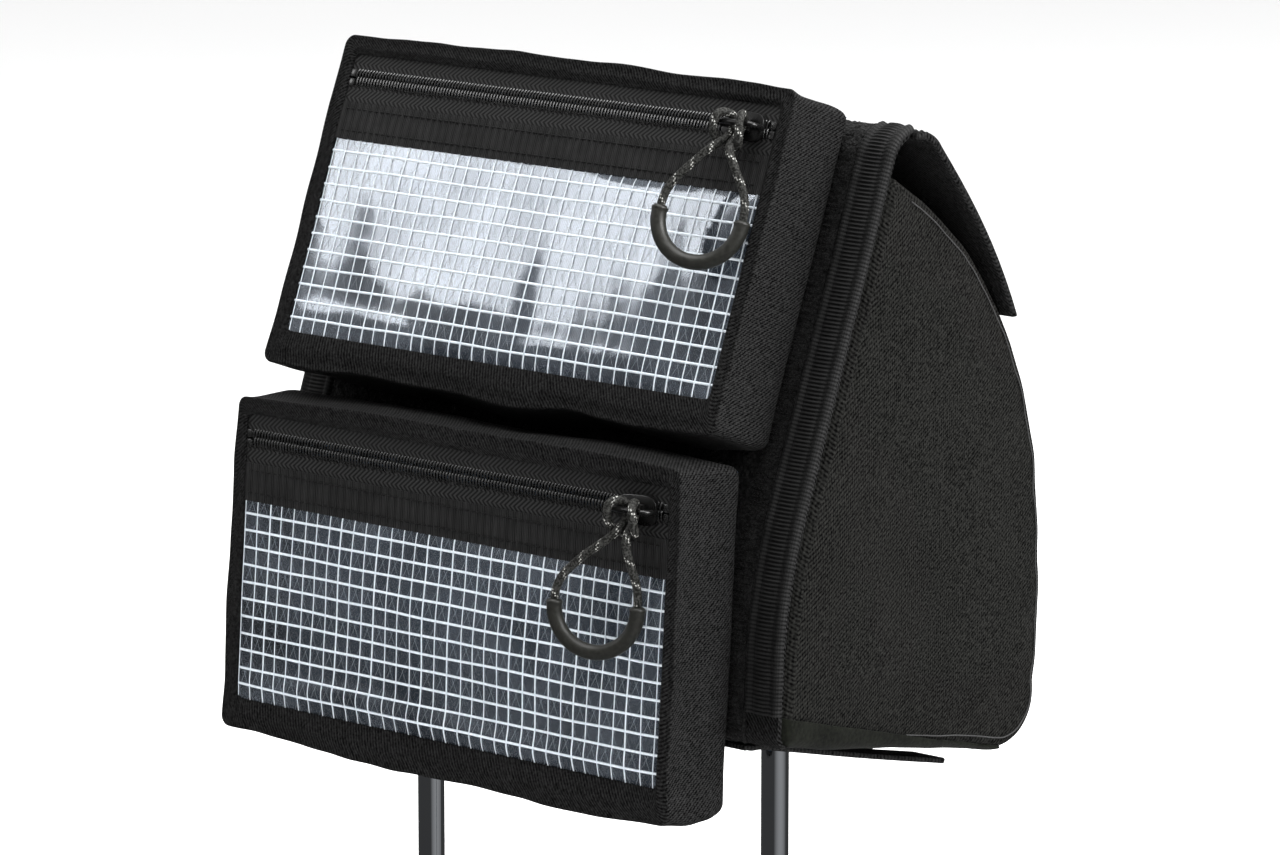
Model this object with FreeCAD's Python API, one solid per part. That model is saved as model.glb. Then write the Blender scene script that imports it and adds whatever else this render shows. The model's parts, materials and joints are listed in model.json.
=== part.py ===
"""Vehicle headrest with a wrapped loop panel and two zipped window pouches.

Millimetres, +Z up.  The origin is midway between the two posts where they
leave the underside.  +X runs across the headrest, +Y towards the front of
the vehicle, and the pouches are on the rear (-Y) side.
"""
import FreeCAD, Part
import math
import os

from FreeCAD import Vector

# --- headrest -------------------------------------------------------------
HALF_WIDTH = 128.5          # headrest half width
COVER = 2.0                 # foam-backed cover fabric
BAND_LINE = ((-44.7, 20.0), (74.8, -11.0))  # (y, z) points of the underside seam
REAR_LOW_LEAN = 4.0         # degrees, lower straight of the rear face
REAR_HIGH_LEAN = 20.5       # degrees, upper straight of the rear face
REAR_FOOT = (-41.2, 12.0)   # (y, z), lower end of the rear face
REAR_LOW_LENGTH = 26.0
REAR_BEND_RADIUS = 174.0
CHEST = (97.5, 75.0)        # (y, z), most forward end of the front slope
CHEST_BOW = (98.8, 42.0)    # (y, z), middle of the arc from chest to chin
CHIN = (96.0, 11.0)
CHIN_BOW = (89.5, -6.5)     # (y, z), middle of the arc from chin to underside
UNDERSIDE_FRONT = (76.0, -11.5)
HEEL = (-36.0, 8.0)         # (y, z), rear end of the flat underside
HEEL_BOW = (-39.6, 9.1)     # (y, z), middle of the arc from heel to rear face
# The slope above it: length of the upper rear straight, then (y, z) points
# over the crown and down to the chest.  The wrap stands off the crown.
HEADREST_CROWN = (119.0, (16.9, 201.5), (21.3, 200.3), (66.5, 161.0))
WRAP_CROWN = (129.0, (26.5, 216.0), (37.0, 210.5), (74.2, 151.5))

# --- posts and armature ---------------------------------------------------
POST_R = 5.0
POST_X = 87.0               # half the post spacing
POST_BELOW = 150.0          # post length below the underside
ROD_TOP = 117.0             # height of the crossbar's axis
ROD_BEND = 22.0
CRIMP_Z = -1.2              # crimped groove at the fabric, which keys the cover
CRIMP_WIDTH = 3.0
CRIMP_R = 4.5
TIP_R = 2.5                 # flat at the post's chamfered end
TIP_CHAMFER = 2.5
NOTCH_DEPTH = 1.6
NOTCH_HEIGHT = 5.0
NOTCH_PITCH = 18.0
NOTCH_FIRST = -82.0         # foot of the highest notch
NOTCH_COUNT = 4
PLATE_T = 1.5
PLATE_HALF = 62.0
PLATE_LOW = 62.0
PLATE_HIGH = 160.0
PLATE_BACK = 6.0            # y of the plate's rear face, clear of the crossbar
HOLE_X = 30.0               # lightening holes
HOLE_Z = 84.0
HOLE_R = 13.0
SADDLE_X = 36.0
SADDLE_HALF = 7.0
SADDLE_T = 1.5
SADDLE_REACH = 15.0         # half height over both flanges
SCREW_R = 2.0
SCREW_OFFSET = 10.5         # screw above and below the crossbar's axis
SCREW_HEAD_R = 3.6
SCREW_HEAD_T = 2.2
SCREW_END = 11.0            # y of the screw's tip

# --- wrap panel -----------------------------------------------------------
BACKING = 2.0
LOOP = 1.5
BINDING = 2.2
BINDING_WIDTH = 16.5
BINDING_LOW = 20.0          # lower end of the edge webbing
FLAP_T = 3.0
FLAP_GAP = 0.3
FLAP_END_Z = 146.0
FLAP_OVERHANG = 2.0         # each side, beyond the headrest
WRAP_LOW = 8.0              # lower end of the panel on the rear face
WRAP_SPLIT_Y = 25.0         # where the backing meets the front flap, on top
UNDER_HALF = 112.0          # half width of the strap under the headrest
UNDER_T = 2.5
UNDER_SLOT = 17.0           # width of the slots that pass the posts
UNDER_TOP = 7.4             # where the strap meets the panel's lower end
UNDER_START = (-34.6, 6.2)  # (y, z), rear end of the strap's straight run
UNDER_END = (64.0, -15.0)
UNDER_PATCH_Y = (32.0, 58.0)
UNDER_PATCH_HALF = 60.0
HOOK = 1.2

# --- pouches --------------------------------------------------------------
POUCH_W = 222.0
POUCH_H = 121.0
POUCH_D = 31.0              # back of the hook patch to the front face
POUCH_CORNER = 8.0
SHEET = 1.4                 # wall fabric
PEEL_GAP = 0.2              # hook patch to loop field
OPENING_HALF = 106.0
WINDOW_LOW = 10.0
WINDOW_HIGH = 83.5
BAND_HIGH = 97.5
ZIP_Z = 106.5               # centre of the zip chain
CHAIN_HALF = 3.3
CHAIN_GAP = 0.6             # half the channel for the slider's web
OPENING_HIGH = 115.5
FILM = 0.5
TAPE = 0.7
COIL_T = 2.4
COIL_PROUD = 0.45           # coil's face outward of the pouch's front
COIL_ROUND = 0.9
STOP = 3.0
WINDOW_INSET = 0.3          # film's face behind the pouch's front
TAPE_INSET = 0.4
WINDOW_BAND_T = 1.2
HOOK_MARGIN = 12.0          # hook patch in from the pouch's sides
HOOK_LOW = 32.0
HOOK_HIGH = 96.0
HOOK_CORNER = 4.0

# --- slider and pull ------------------------------------------------------
SLIDER_X = 92.0             # closed position along the zip
SLIDER_HALF = 9.6
SLIDER_HALF_H = 5.6
SLIDER_PLATE = 1.3
SLIDER_CORNER = 3.0
SLIDER_CLEAR = 0.25         # slider to coils and tapes
FLANGE_T = 1.2
WEB_START = 2.0             # the web between the plates, from the slider's middle
WEB_T = 0.9
BAR_OUT = 7.2               # bridge bar's axis, outward from the front face
BAR_R = 1.1
LEG_IN = 8.1                # clear half length under the bar
LEG_HALF = 1.4
CORD_R = 1.5
GRIP_R = 2.75
GRIP_BEND = 15.5
GRIP_TWIST = 22.0           # degrees, the grip turns about its hanging line
GRIP_OUT = 2.2              # ring centre, outward from the bar
GRIP_DOWN = 35.5            # ring centre, below the bar
GRIP_END = 2.0              # straight end above the ring centre

POUCHES = {
    # name: (centre x, face, lower end's distance up that face, ring centre across)
    "lower": (-4.5, "low", -28.7, -10.0),
    "upper": (-5.0, "high", 22.5, -2.0),
}

parts = {}


def point(y, z, x=0.0):
    return Vector(x, y, z)


def arc(a, b, c):
    """Arc edge through three (y, z) points."""
    return Part.Arc(point(*a), point(*b), point(*c)).toShape()


def line(a, b):
    return Part.makeLine(point(*a), point(*b))


def along(start, lean, length):
    """The (y, z) point at a distance up a face that leans forward."""
    t = math.radians(lean)
    return (start[0] + length * math.sin(t), start[1] + length * math.cos(t))


def rear_face(high_length):
    """Corner points of the rear face: two straights and the bend between."""
    foot = REAR_FOOT
    low = along(foot, REAR_LOW_LEAN, REAR_LOW_LENGTH)
    a = math.radians(REAR_LOW_LEAN)
    b = math.radians(REAR_HIGH_LEAN)
    centre = (low[0] + REAR_BEND_RADIUS * math.cos(a),
              low[1] - REAR_BEND_RADIUS * math.sin(a))

    def on_bend(t):
        return (centre[0] - REAR_BEND_RADIUS * math.cos(t),
                centre[1] + REAR_BEND_RADIUS * math.sin(t))

    high = on_bend(b)
    top = along(high, REAR_HIGH_LEAN, high_length)
    return foot, low, on_bend((a + b) / 2), high, top


def profile_wire(offset, over):
    """Side outline with the crown that over names, grown outward by offset."""
    high_length, over_top, crown, slope = over
    foot, low, bend, high, top = rear_face(high_length)
    edges = [
        line(foot, low),
        arc(low, bend, high),
        line(high, top),
        arc(top, over_top, crown),
        arc(crown, slope, CHEST),
        arc(CHEST, CHEST_BOW, CHIN),
        arc(CHIN, CHIN_BOW, UNDERSIDE_FRONT),
        line(UNDERSIDE_FRONT, HEEL),
        arc(HEEL, HEEL_BOW, foot),
    ]
    wire = Part.Wire(Part.sortEdges(edges)[0])
    if offset:
        wire = Part.Face(wire).makeOffset2D(offset).OuterWire
    return wire


def block(offset, x0, x1, over=HEADREST_CROWN):
    """The side outline, offset and extruded from x0 to x1."""
    face = Part.Face(profile_wire(offset, over))
    face.translate(Vector(x0, 0, 0))
    return face.extrude(Vector(x1 - x0, 0, 0))


def prism(outline, x0, x1):
    """A (y, z) polygon extruded from x0 to x1."""
    points = [point(y, z, x0) for y, z in outline]
    face = Part.Face(Part.makePolygon(points + points[:1]))
    return face.extrude(Vector(x1 - x0, 0, 0))


def layer(inner, outer, x0, x1, zone):
    """A layer of the wrap between two offsets, kept where zone is."""
    ring = block(outer, x0, x1, WRAP_CROWN).cut(block(inner, x0 - 1, x1 + 1, WRAP_CROWN))
    return ring.common(prism(zone, x0 - 1, x1 + 1))


def box(x0, x1, y0, y1, z0, z1):
    return Part.makeBox(x1 - x0, y1 - y0, z1 - z0, Vector(x0, y0, z0))


def rod(a, b, r):
    """A round rod from point a to point b."""
    return Part.makeCylinder(r, (b - a).Length, a, b - a)


def tube_along(points, r, bend=None):
    """A round tube on straight runs joined by tangent arcs.

    Each arc takes 0.45 of its shorter run unless bend gives every radius.
    Returns the solid, the length of its centreline and the arc radii.
    """
    edges = []
    used = []
    start = points[0]
    for i in range(1, len(points) - 1):
        back = points[i - 1] - points[i]
        ahead = points[i + 1] - points[i]
        turn = math.pi - back.getAngle(ahead)
        reach = 0.45 * min(back.Length, ahead.Length)
        radius = reach / math.tan(turn / 2)
        if bend:
            radius = bend
            reach = radius * math.tan(turn / 2)
        used.append(radius)
        back.normalize()
        ahead.normalize()
        enter = points[i] + back * reach
        leave = points[i] + ahead * reach
        middle = back + ahead
        middle.normalize()
        depth = radius / math.cos(turn / 2) - radius
        edges.append(Part.makeLine(start, enter))
        edges.append(Part.Arc(enter, points[i] + middle * depth, leave).toShape())
        start = leave
    edges.append(Part.makeLine(start, points[-1]))
    path = Part.Wire(edges)
    section = Part.Wire(Part.makeCircle(r, points[0], points[1] - points[0]))
    solid = path.makePipeShell([section], True, True)
    return solid, path.Length, used


def one(shape):
    """The single clean solid in a boolean result."""
    shape = shape.removeSplitter()
    solids = shape.Solids
    if len(solids) != 1:
        print("expected one solid, found", len(solids))
    return solids[0]


# --- headrest -------------------------------------------------------------

def post_rod():
    """Both posts and the crossbar, bent from one chromed rod."""
    foot = -POST_BELOW
    route = [Vector(-POST_X, 0, foot), Vector(-POST_X, 0, ROD_TOP),
             Vector(POST_X, 0, ROD_TOP), Vector(POST_X, 0, foot)]
    solid, _, _ = tube_along(route, POST_R, ROD_BEND)
    for x in (-POST_X, POST_X):
        below = Vector(x, 0, foot - 0.01)
        tall = TIP_CHAMFER + 1.5
        sleeve = Part.makeCylinder(POST_R + 1, tall, below)
        cone = Part.makeCone(TIP_R, TIP_R + tall, tall, below)
        solid = solid.cut(sleeve.cut(cone))
        groove = Part.makeCylinder(POST_R + 1, CRIMP_WIDTH, Vector(x, 0, CRIMP_Z))
        core = Part.makeCylinder(CRIMP_R, CRIMP_WIDTH, Vector(x, 0, CRIMP_Z))
        solid = solid.cut(groove.cut(core))
    for i in range(NOTCH_COUNT):
        z = NOTCH_FIRST - i * NOTCH_PITCH
        edge = -POST_X + POST_R - NOTCH_DEPTH
        solid = solid.cut(box(edge, edge + 5, -6, 6, z, z + NOTCH_HEIGHT))
    return one(solid)


def saddle(x):
    """A strap bent over the crossbar, with a flange above and below."""
    outer = POST_R + SADDLE_T
    x0, x1 = x - SADDLE_HALF, x + SADDLE_HALF
    reach = PLATE_BACK
    strap = rod(Vector(x0, 0, ROD_TOP), Vector(x1, 0, ROD_TOP), outer)
    strap = strap.fuse(box(x0, x1, 0, reach, ROD_TOP - outer, ROD_TOP + outer))
    flange = box(x0, x1, reach - SADDLE_T, reach,
                 ROD_TOP - SADDLE_REACH, ROD_TOP + SADDLE_REACH)
    bore = rod(Vector(x0 - 1, 0, ROD_TOP), Vector(x1 + 1, 0, ROD_TOP), POST_R)
    throat = box(x0 - 1, x1 + 1, 0, reach + 1, ROD_TOP - POST_R, ROD_TOP + POST_R)
    return strap.fuse(flange).cut(bore).cut(throat)


def screws(x):
    """Pan-head screws through one saddle's flanges and the plate."""
    found = []
    for side in (-1, 1):
        z = ROD_TOP + side * SCREW_OFFSET
        under_head = PLATE_BACK - SADDLE_T
        seat = Vector(x, under_head, z)
        head = rod(Vector(x, under_head - SCREW_HEAD_T, z), seat, SCREW_HEAD_R)
        shank = rod(seat, Vector(x, SCREW_END, z), SCREW_R)
        found.append(one(head.fuse(shank)))
    return found


def headrest():
    rod_solid = post_rod()
    parts["post_rod"] = rod_solid
    all_screws = [s for x in (-SADDLE_X, SADDLE_X) for s in screws(x)]
    holes = Part.makeCompound(all_screws)
    plate = box(-PLATE_HALF, PLATE_HALF, PLATE_BACK, PLATE_BACK + PLATE_T,
                PLATE_LOW, PLATE_HIGH)
    for x in (-HOLE_X, HOLE_X):
        plate = plate.cut(rod(Vector(x, 0, HOLE_Z), Vector(x, 20, HOLE_Z), HOLE_R))
    plate = one(plate.cut(holes))
    parts["carrier_plate"] = plate
    saddles = {}
    for name, x in (("left", -SADDLE_X), ("right", SADDLE_X)):
        saddles[name] = one(saddle(x).cut(holes))
        parts["crossbar_saddle_" + name] = saddles[name]
    parts["saddle_screws"] = holes

    outer = block(0, -HALF_WIDTH, HALF_WIDTH)
    inner_x = HALF_WIDTH - COVER
    core = block(-COVER, -inner_x, inner_x)
    shell = outer.cut(core)
    (ya, za), (yb, zb) = BAND_LINE
    fall = (zb - za) / (yb - ya)
    seam = [(y, za + (y - ya) * fall) for y in (-90, 120)]
    below = prism(seam + [(120, -60), (-90, -60)], -HALF_WIDTH - 1, HALF_WIDTH + 1)
    posts = Part.makeCompound([
        rod(Vector(x, 0, -30), Vector(x, 0, 30), POST_R) for x in (-POST_X, POST_X)])
    parts["cover_underside"] = one(shell.common(below).cut(posts))
    upper = shell.cut(below)
    middle = box(-inner_x, inner_x, -200, 200, -200, 400)
    parts["cover_wrap"] = one(upper.common(middle))
    ends = upper.cut(middle)
    for solid in ends.Solids:
        side = "left" if solid.CenterOfMass.x < 0 else "right"
        parts["cover_side_" + side] = solid
    foam = core.cut(rod_solid).cut(plate).cut(holes)
    for solid in saddles.values():
        foam = foam.cut(solid)
    parts["foam_core"] = max(foam.Solids, key=lambda s: s.Volume)


# --- wrap panel -----------------------------------------------------------

def wrap_panel():
    y = WRAP_SPLIT_Y
    # zones are loose outlines round the stretch of a layer that is kept
    rear_zone = [(-90, WRAP_LOW), (0, WRAP_LOW), (0, 120), (y, 190), (y, 240), (-90, 240)]
    edge_zone = [(-90, BINDING_LOW), (0, BINDING_LOW)] + rear_zone[2:]
    front_zone = [(y, 190), (y, 240), (130, 240), (130, FLAP_END_Z), (45, FLAP_END_Z)]
    w = HALF_WIDTH
    inner = w - BINDING_WIDTH
    parts["panel_backing"] = one(layer(0, BACKING, -w, w, rear_zone))
    parts["loop_field"] = one(layer(BACKING, BACKING + LOOP, -inner, inner, rear_zone))
    edge = BACKING + BINDING
    parts["binding_left"] = one(layer(BACKING, edge, -w, -inner, edge_zone))
    parts["binding_right"] = one(layer(BACKING, edge, inner, w, edge_zone))
    wide = w + FLAP_OVERHANG
    parts["front_flap"] = one(layer(FLAP_GAP, FLAP_GAP + FLAP_T, -wide, wide, front_zone))
    start, end = UNDER_START, UNDER_END
    slope = (end[1] - start[1]) / (end[0] - start[0])
    # the strap bends down from the panel's lower end, then runs forward
    outline = [(-43.8, UNDER_TOP), (-41.8, UNDER_TOP), (-39.8, 6.2), start, end,
               (end[0], end[1] - UNDER_T), (-35.1, 3.5), (-42.2, 3.8)]
    under = prism(outline, -UNDER_HALF, UNDER_HALF)
    for x in (-POST_X, POST_X):
        half = UNDER_SLOT / 2
        under = under.cut(box(x - half, x + half, -half, 80, -60, 60))
    parts["under_flap"] = one(under)
    y0, y1 = UNDER_PATCH_Y
    z0 = start[1] + (y0 - start[0]) * slope
    z1 = start[1] + (y1 - start[0]) * slope
    patch = [(y0, z0), (y1, z1), (y1, z1 + HOOK), (y0, z0 + HOOK)]
    parts["under_hook_patch"] = one(prism(patch, -UNDER_PATCH_HALF, UNDER_PATCH_HALF))


# --- pouches --------------------------------------------------------------

def rounded(w0, w1, y0, y1, z0, z1, r):
    """A block with its four Y edges rounded."""
    solid = box(w0, w1, y0, y1, z0, z1)
    edges = [e for e in solid.Edges
             if abs(e.Vertexes[0].Point.y - e.Vertexes[1].Point.y) > 1e-6]
    return solid.makeFillet(r, edges)


def pouch_shell():
    """The sewn box of one pouch, in its own frame: -Y out, +Z up its face."""
    w, h, d = POUCH_W / 2, POUCH_H, POUCH_D
    o = OPENING_HALF
    made = {}
    made["hook_patch"] = rounded(-w + HOOK_MARGIN, w - HOOK_MARGIN, -HOOK, 0,
                                 HOOK_LOW, HOOK_HIGH, HOOK_CORNER)
    back = HOOK + SHEET
    made["back_panel"] = rounded(-w, w, -back, -HOOK, 0, h, POUCH_CORNER)
    front = d - SHEET
    outer = rounded(-w, w, -front, -back, 0, h, POUCH_CORNER)
    inner = rounded(-w + SHEET, w - SHEET, -front, -back, SHEET, h - SHEET,
                    POUCH_CORNER - SHEET)
    made["gusset"] = outer.cut(inner)
    face = rounded(-w, w, -d, -front, 0, h, POUCH_CORNER)
    face = face.cut(box(-o, o, -d, -front, WINDOW_LOW, OPENING_HIGH))
    made["front_frame"] = face
    film_out = -d + WINDOW_INSET
    made["window"] = box(-o, o, film_out, film_out + FILM, WINDOW_LOW, WINDOW_HIGH)
    made["window_band"] = box(-o, o, -d, -d + WINDOW_BAND_T, WINDOW_HIGH, BAND_HIGH)
    tape_out = -d + TAPE_INSET
    tape_in = tape_out + TAPE
    chain_low, chain_high = ZIP_Z - CHAIN_HALF, ZIP_Z + CHAIN_HALF
    made["zip_tape_lower"] = box(-o, o, tape_out, tape_in, BAND_HIGH, chain_low)
    made["zip_tape_upper"] = box(-o, o, tape_out, tape_in, chain_high, OPENING_HIGH)
    c = o - STOP
    coil_out = -d - COIL_PROUD
    for name, z0, z1 in (("lower", chain_low, ZIP_Z - CHAIN_GAP),
                         ("upper", ZIP_Z + CHAIN_GAP, chain_high)):
        solid = box(-c, c, coil_out, coil_out + COIL_T, z0, z1)
        long_edges = [e for e in solid.Edges if e.Length > c]
        made["zip_coil_" + name] = solid.makeFillet(COIL_ROUND, long_edges)
    made["zip_stops"] = Part.makeCompound([
        box(x, x + STOP, coil_out, coil_out + COIL_T, chain_low, chain_high)
        for x in (-o, c)])
    return made


def slider():
    """The slider at the closed end: two plates, a web and the bridge bar."""
    d = POUCH_D
    s, half = SLIDER_HALF, SLIDER_HALF_H
    coil_out = -d - COIL_PROUD
    top_in = coil_out - SLIDER_CLEAR
    top_out = top_in - SLIDER_PLATE
    low_out = coil_out + COIL_T + SLIDER_CLEAR
    low_in = low_out + SLIDER_PLATE
    plate = rounded(-s, s, top_out, top_in, ZIP_Z - half, ZIP_Z + half, SLIDER_CORNER)
    under = rounded(-s, s, low_out, low_in, ZIP_Z - half, ZIP_Z + half, SLIDER_CORNER)
    web = box(WEB_START, s - 1.5, top_in, low_out, ZIP_Z - WEB_T / 2, ZIP_Z + WEB_T / 2)
    solid = plate.fuse(under).fuse(web)
    flange_in = -d + TAPE_INSET - SLIDER_CLEAR
    flange = s - SLIDER_CORNER
    for z0 in (ZIP_Z - half, ZIP_Z + half - FLANGE_T):
        solid = solid.fuse(box(-flange, flange, top_in, flange_in, z0, z0 + FLANGE_T))
    bar_y = -d - BAR_OUT
    for x0 in (-s, LEG_IN):
        solid = solid.fuse(box(x0, x0 + s - LEG_IN, bar_y, top_out,
                               ZIP_Z - LEG_HALF, ZIP_Z + LEG_HALF))
    bar = rod(Vector(-s, bar_y, ZIP_Z), Vector(s, bar_y, ZIP_Z), BAR_R)
    solid = solid.fuse(bar)
    solid.translate(Vector(SLIDER_X, 0, 0))
    return solid


def pull_point(across, out, down):
    """A point of the pull, measured from the middle of the bridge bar."""
    return Vector(SLIDER_X + across, -POUCH_D - BAR_OUT - out, ZIP_Z - down)


def grip(ring):
    """The moulded U grip, hanging below the bar and turned on its line."""
    t = math.radians(GRIP_TWIST)
    side = Vector(math.cos(t), math.sin(t), 0) * GRIP_BEND
    centre = pull_point(ring, GRIP_OUT, GRIP_DOWN)
    up = Vector(0, 0, GRIP_END)
    bottom = centre - Vector(0, 0, GRIP_BEND)
    path = Part.Wire([
        Part.makeLine(centre - side + up, centre - side),
        Part.Arc(centre - side, bottom, centre + side).toShape(),
        Part.makeLine(centre + side, centre + side + up),
    ])
    section = Part.Wire(Part.makeCircle(GRIP_R, centre - side + up, Vector(0, 0, 1)))
    return path.makePipeShell([section], True, True)


def cord_route(ring):
    """Route of the pull cord: mouth, strand, lark's head, strand, mouth.

    Each point is (across, out, down) from the middle of the bridge bar.
    """
    t = math.radians(GRIP_TWIST)
    reach = GRIP_BEND * math.cos(t)
    lift = GRIP_BEND * math.sin(t)
    mouth = GRIP_DOWN - GRIP_END
    left = ring - reach
    right = ring + reach
    return [
        (left, GRIP_OUT + lift, mouth),
        (left, GRIP_OUT + lift, mouth - 6.0),
        (0.60 * left, 5.2, 17.4),
        (-3.0, 3.6, 9.6),
        (-1.8, -2.6, 4.0),
        (-1.9, -3.2, -3.0),
        (-5.4, 3.0, -3.3),
        (-6.2, 3.4, 2.6),
        (-5.6, 0.9, 6.9),
        (-3.0, -2.0, 8.4),
        (3.0, -2.0, 8.4),
        (5.6, 0.9, 6.9),
        (6.2, 3.4, 2.6),
        (5.4, 3.0, -3.3),
        (1.9, -3.2, -3.0),
        (1.8, -2.6, 4.0),
        (3.0, 3.4, 9.6),
        (0.62 * right + 0.6, 0.4, 18.0),
        (right, GRIP_OUT - lift, mouth - 6.0),
        (right, GRIP_OUT - lift, mouth),
    ]


def pouch_base(face, distance):
    """Where a pouch's lower back edge sits, and its lean, on the loop field."""
    foot, _, _, high, _ = rear_face(WRAP_CROWN[0])
    start, lean = (foot, REAR_LOW_LEAN) if face == "low" else (high, REAR_HIGH_LEAN)
    y, z = along(start, lean, distance)
    t = math.radians(lean)
    out = BACKING + LOOP + PEEL_GAP
    return y - out * math.cos(t), z + out * math.sin(t), lean


def pouches():
    for name, (x, face, distance, ring) in POUCHES.items():
        y, z, lean = pouch_base(face, distance)
        made = pouch_shell()
        made["slider"] = slider()
        made["pull_grip"] = grip(ring)
        route = [pull_point(*p) for p in cord_route(ring)]
        cord, length, radii = tube_along(route, CORD_R)
        made["pull_cord"] = cord
        expected = math.pi * CORD_R ** 2 * length
        print(name, "base y %.2f z %.2f" % (y, z))
        print("  cord length %.1f" % length, "volume ratio %.4f" % (cord.Volume / expected))
        print("  radii", " ".join("%.1f" % r for r in radii))
        for part, shape in made.items():
            if len(shape.Solids) == 1:
                shape = one(shape)
            shape.rotate(Vector(0, 0, 0), Vector(1, 0, 0), -lean)
            shape.translate(Vector(x, y, z))
            parts[name + "_" + part] = shape


def main():
    headrest()
    wrap_panel()
    pouches()
    os.makedirs("parts", exist_ok=True)
    for name, shape in parts.items():
        if not shape.isValid():
            print("invalid:", name)
        shape.exportStep("parts/" + name + ".step")
    print(len(parts), "nodes")


main()
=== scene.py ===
import json
import math

import bmesh
import bpy
import numpy as np
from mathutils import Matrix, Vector


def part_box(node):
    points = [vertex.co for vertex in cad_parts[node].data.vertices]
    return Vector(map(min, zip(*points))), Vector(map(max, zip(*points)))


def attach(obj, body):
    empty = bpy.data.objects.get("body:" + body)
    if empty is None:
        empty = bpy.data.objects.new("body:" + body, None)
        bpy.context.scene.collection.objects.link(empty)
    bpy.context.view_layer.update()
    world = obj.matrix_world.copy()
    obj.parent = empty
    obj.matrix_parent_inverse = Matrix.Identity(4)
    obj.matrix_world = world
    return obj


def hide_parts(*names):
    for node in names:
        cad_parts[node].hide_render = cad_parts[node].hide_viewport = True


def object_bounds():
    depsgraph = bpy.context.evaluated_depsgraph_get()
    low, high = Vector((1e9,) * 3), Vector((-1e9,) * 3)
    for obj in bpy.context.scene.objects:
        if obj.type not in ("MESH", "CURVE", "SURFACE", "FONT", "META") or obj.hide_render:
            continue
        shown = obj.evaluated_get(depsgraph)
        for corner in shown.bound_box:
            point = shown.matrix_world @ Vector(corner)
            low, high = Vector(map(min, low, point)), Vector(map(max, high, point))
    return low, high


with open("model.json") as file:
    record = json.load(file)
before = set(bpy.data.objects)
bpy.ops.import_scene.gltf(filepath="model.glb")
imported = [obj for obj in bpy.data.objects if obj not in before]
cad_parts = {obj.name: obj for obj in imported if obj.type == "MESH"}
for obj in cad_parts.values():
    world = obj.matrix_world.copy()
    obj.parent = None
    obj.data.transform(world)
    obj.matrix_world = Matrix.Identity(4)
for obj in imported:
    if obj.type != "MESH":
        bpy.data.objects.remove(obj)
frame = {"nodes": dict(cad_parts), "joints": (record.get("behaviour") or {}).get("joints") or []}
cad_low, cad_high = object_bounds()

MM = 0.001
JOINTS = {j["name"]: j for j in frame["joints"]}


# --- mesh building ---------------------------------------------------------

def new_object(name, data):
    thing = bpy.data.objects.new(name, data)
    bpy.context.scene.collection.objects.link(thing)
    return thing


def finish_mesh(name, verts, faces, uv, sharp=None):
    """A mesh object, in metres of the shared frame.  uv has a pair per vertex."""
    mesh = bpy.data.meshes.new(name)
    mesh.from_pydata(np.asarray(verts, float).reshape(-1, 3).tolist(), [], faces)
    loops = np.zeros(len(mesh.loops), np.int32)
    mesh.loops.foreach_get("vertex_index", loops)
    layer = mesh.uv_layers.new(name="cloth")
    flat = np.asarray(uv, float).reshape(-1, 2)[loops]
    layer.data.foreach_set("uv", flat.astype(np.float32).ravel())
    mesh.shade_smooth()
    if sharp:
        mesh.set_sharp_from_angle(angle=math.radians(sharp))
    return new_object(name, mesh)


def stacked(*values):
    """Points, or (u, v) pairs, from arrays or numbers of their coordinates."""
    return np.stack(np.broadcast_arrays(*values), -1)


def unit_rows(vectors):
    return vectors / np.linalg.norm(vectors, axis=1)[:, None]


def step_lengths(points):
    return np.linalg.norm(np.diff(points, axis=0), axis=1)


def distance_along(points):
    """Length of a line from its first point to each of its points."""
    return np.concatenate([[0], np.cumsum(step_lengths(points))])


def points_at(distances, along, points):
    """Points of a line at these distances; along has each given point's own."""
    return np.stack([np.interp(distances, along, column) for column in points.T], -1)


def grid_faces(rows, cols, wrap_rows=False, wrap_cols=False, start=0, flip=False):
    """Quads of a rows x cols grid of vertices."""
    faces = []
    for i in range(rows if wrap_rows else rows - 1):
        a, b = i * cols, (i + 1) % rows * cols
        for j in range(cols if wrap_cols else cols - 1):
            k = (j + 1) % cols
            quad = (start + a + j, start + a + k, start + b + k, start + b + j)
            faces.append(quad[::-1] if flip else quad)
    return faces


def slab(name, top, bottom, uv, sharp=40):
    """A closed sheet between two (rows, cols, 3) grids of points."""
    rows, cols = top.shape[:2]
    count = rows * cols
    faces = grid_faces(rows, cols)
    faces += grid_faces(rows, cols, start=count, flip=True)
    rim = [i * cols for i in range(rows)]
    rim += [(rows - 1) * cols + j for j in range(1, cols)]
    rim += [i * cols + cols - 1 for i in range(rows - 2, -1, -1)]
    rim += list(range(cols - 2, 0, -1))
    for i, a in enumerate(rim):
        b = rim[(i + 1) % len(rim)]
        faces.append((a, b, count + b, count + a))
    verts = np.concatenate([top.reshape(-1, 3), bottom.reshape(-1, 3)])
    return finish_mesh(name, verts, faces, np.tile(uv.reshape(-1, 2), (2, 1)), sharp)


def frames_along(path):
    """Two directions square to the path at each point, turned as little as possible."""
    tangent = unit_rows(np.gradient(path, axis=0))
    start = np.array([0.0, 0.0, 1.0])
    if abs(tangent[0] @ start) > 0.9:
        start = np.array([1.0, 0.0, 0.0])
    normal = np.zeros_like(path)
    for i, t in enumerate(tangent):
        n = start - (start @ t) * t
        start = n / np.linalg.norm(n)
        normal[i] = start
    return normal, np.cross(tangent, normal)


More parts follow.
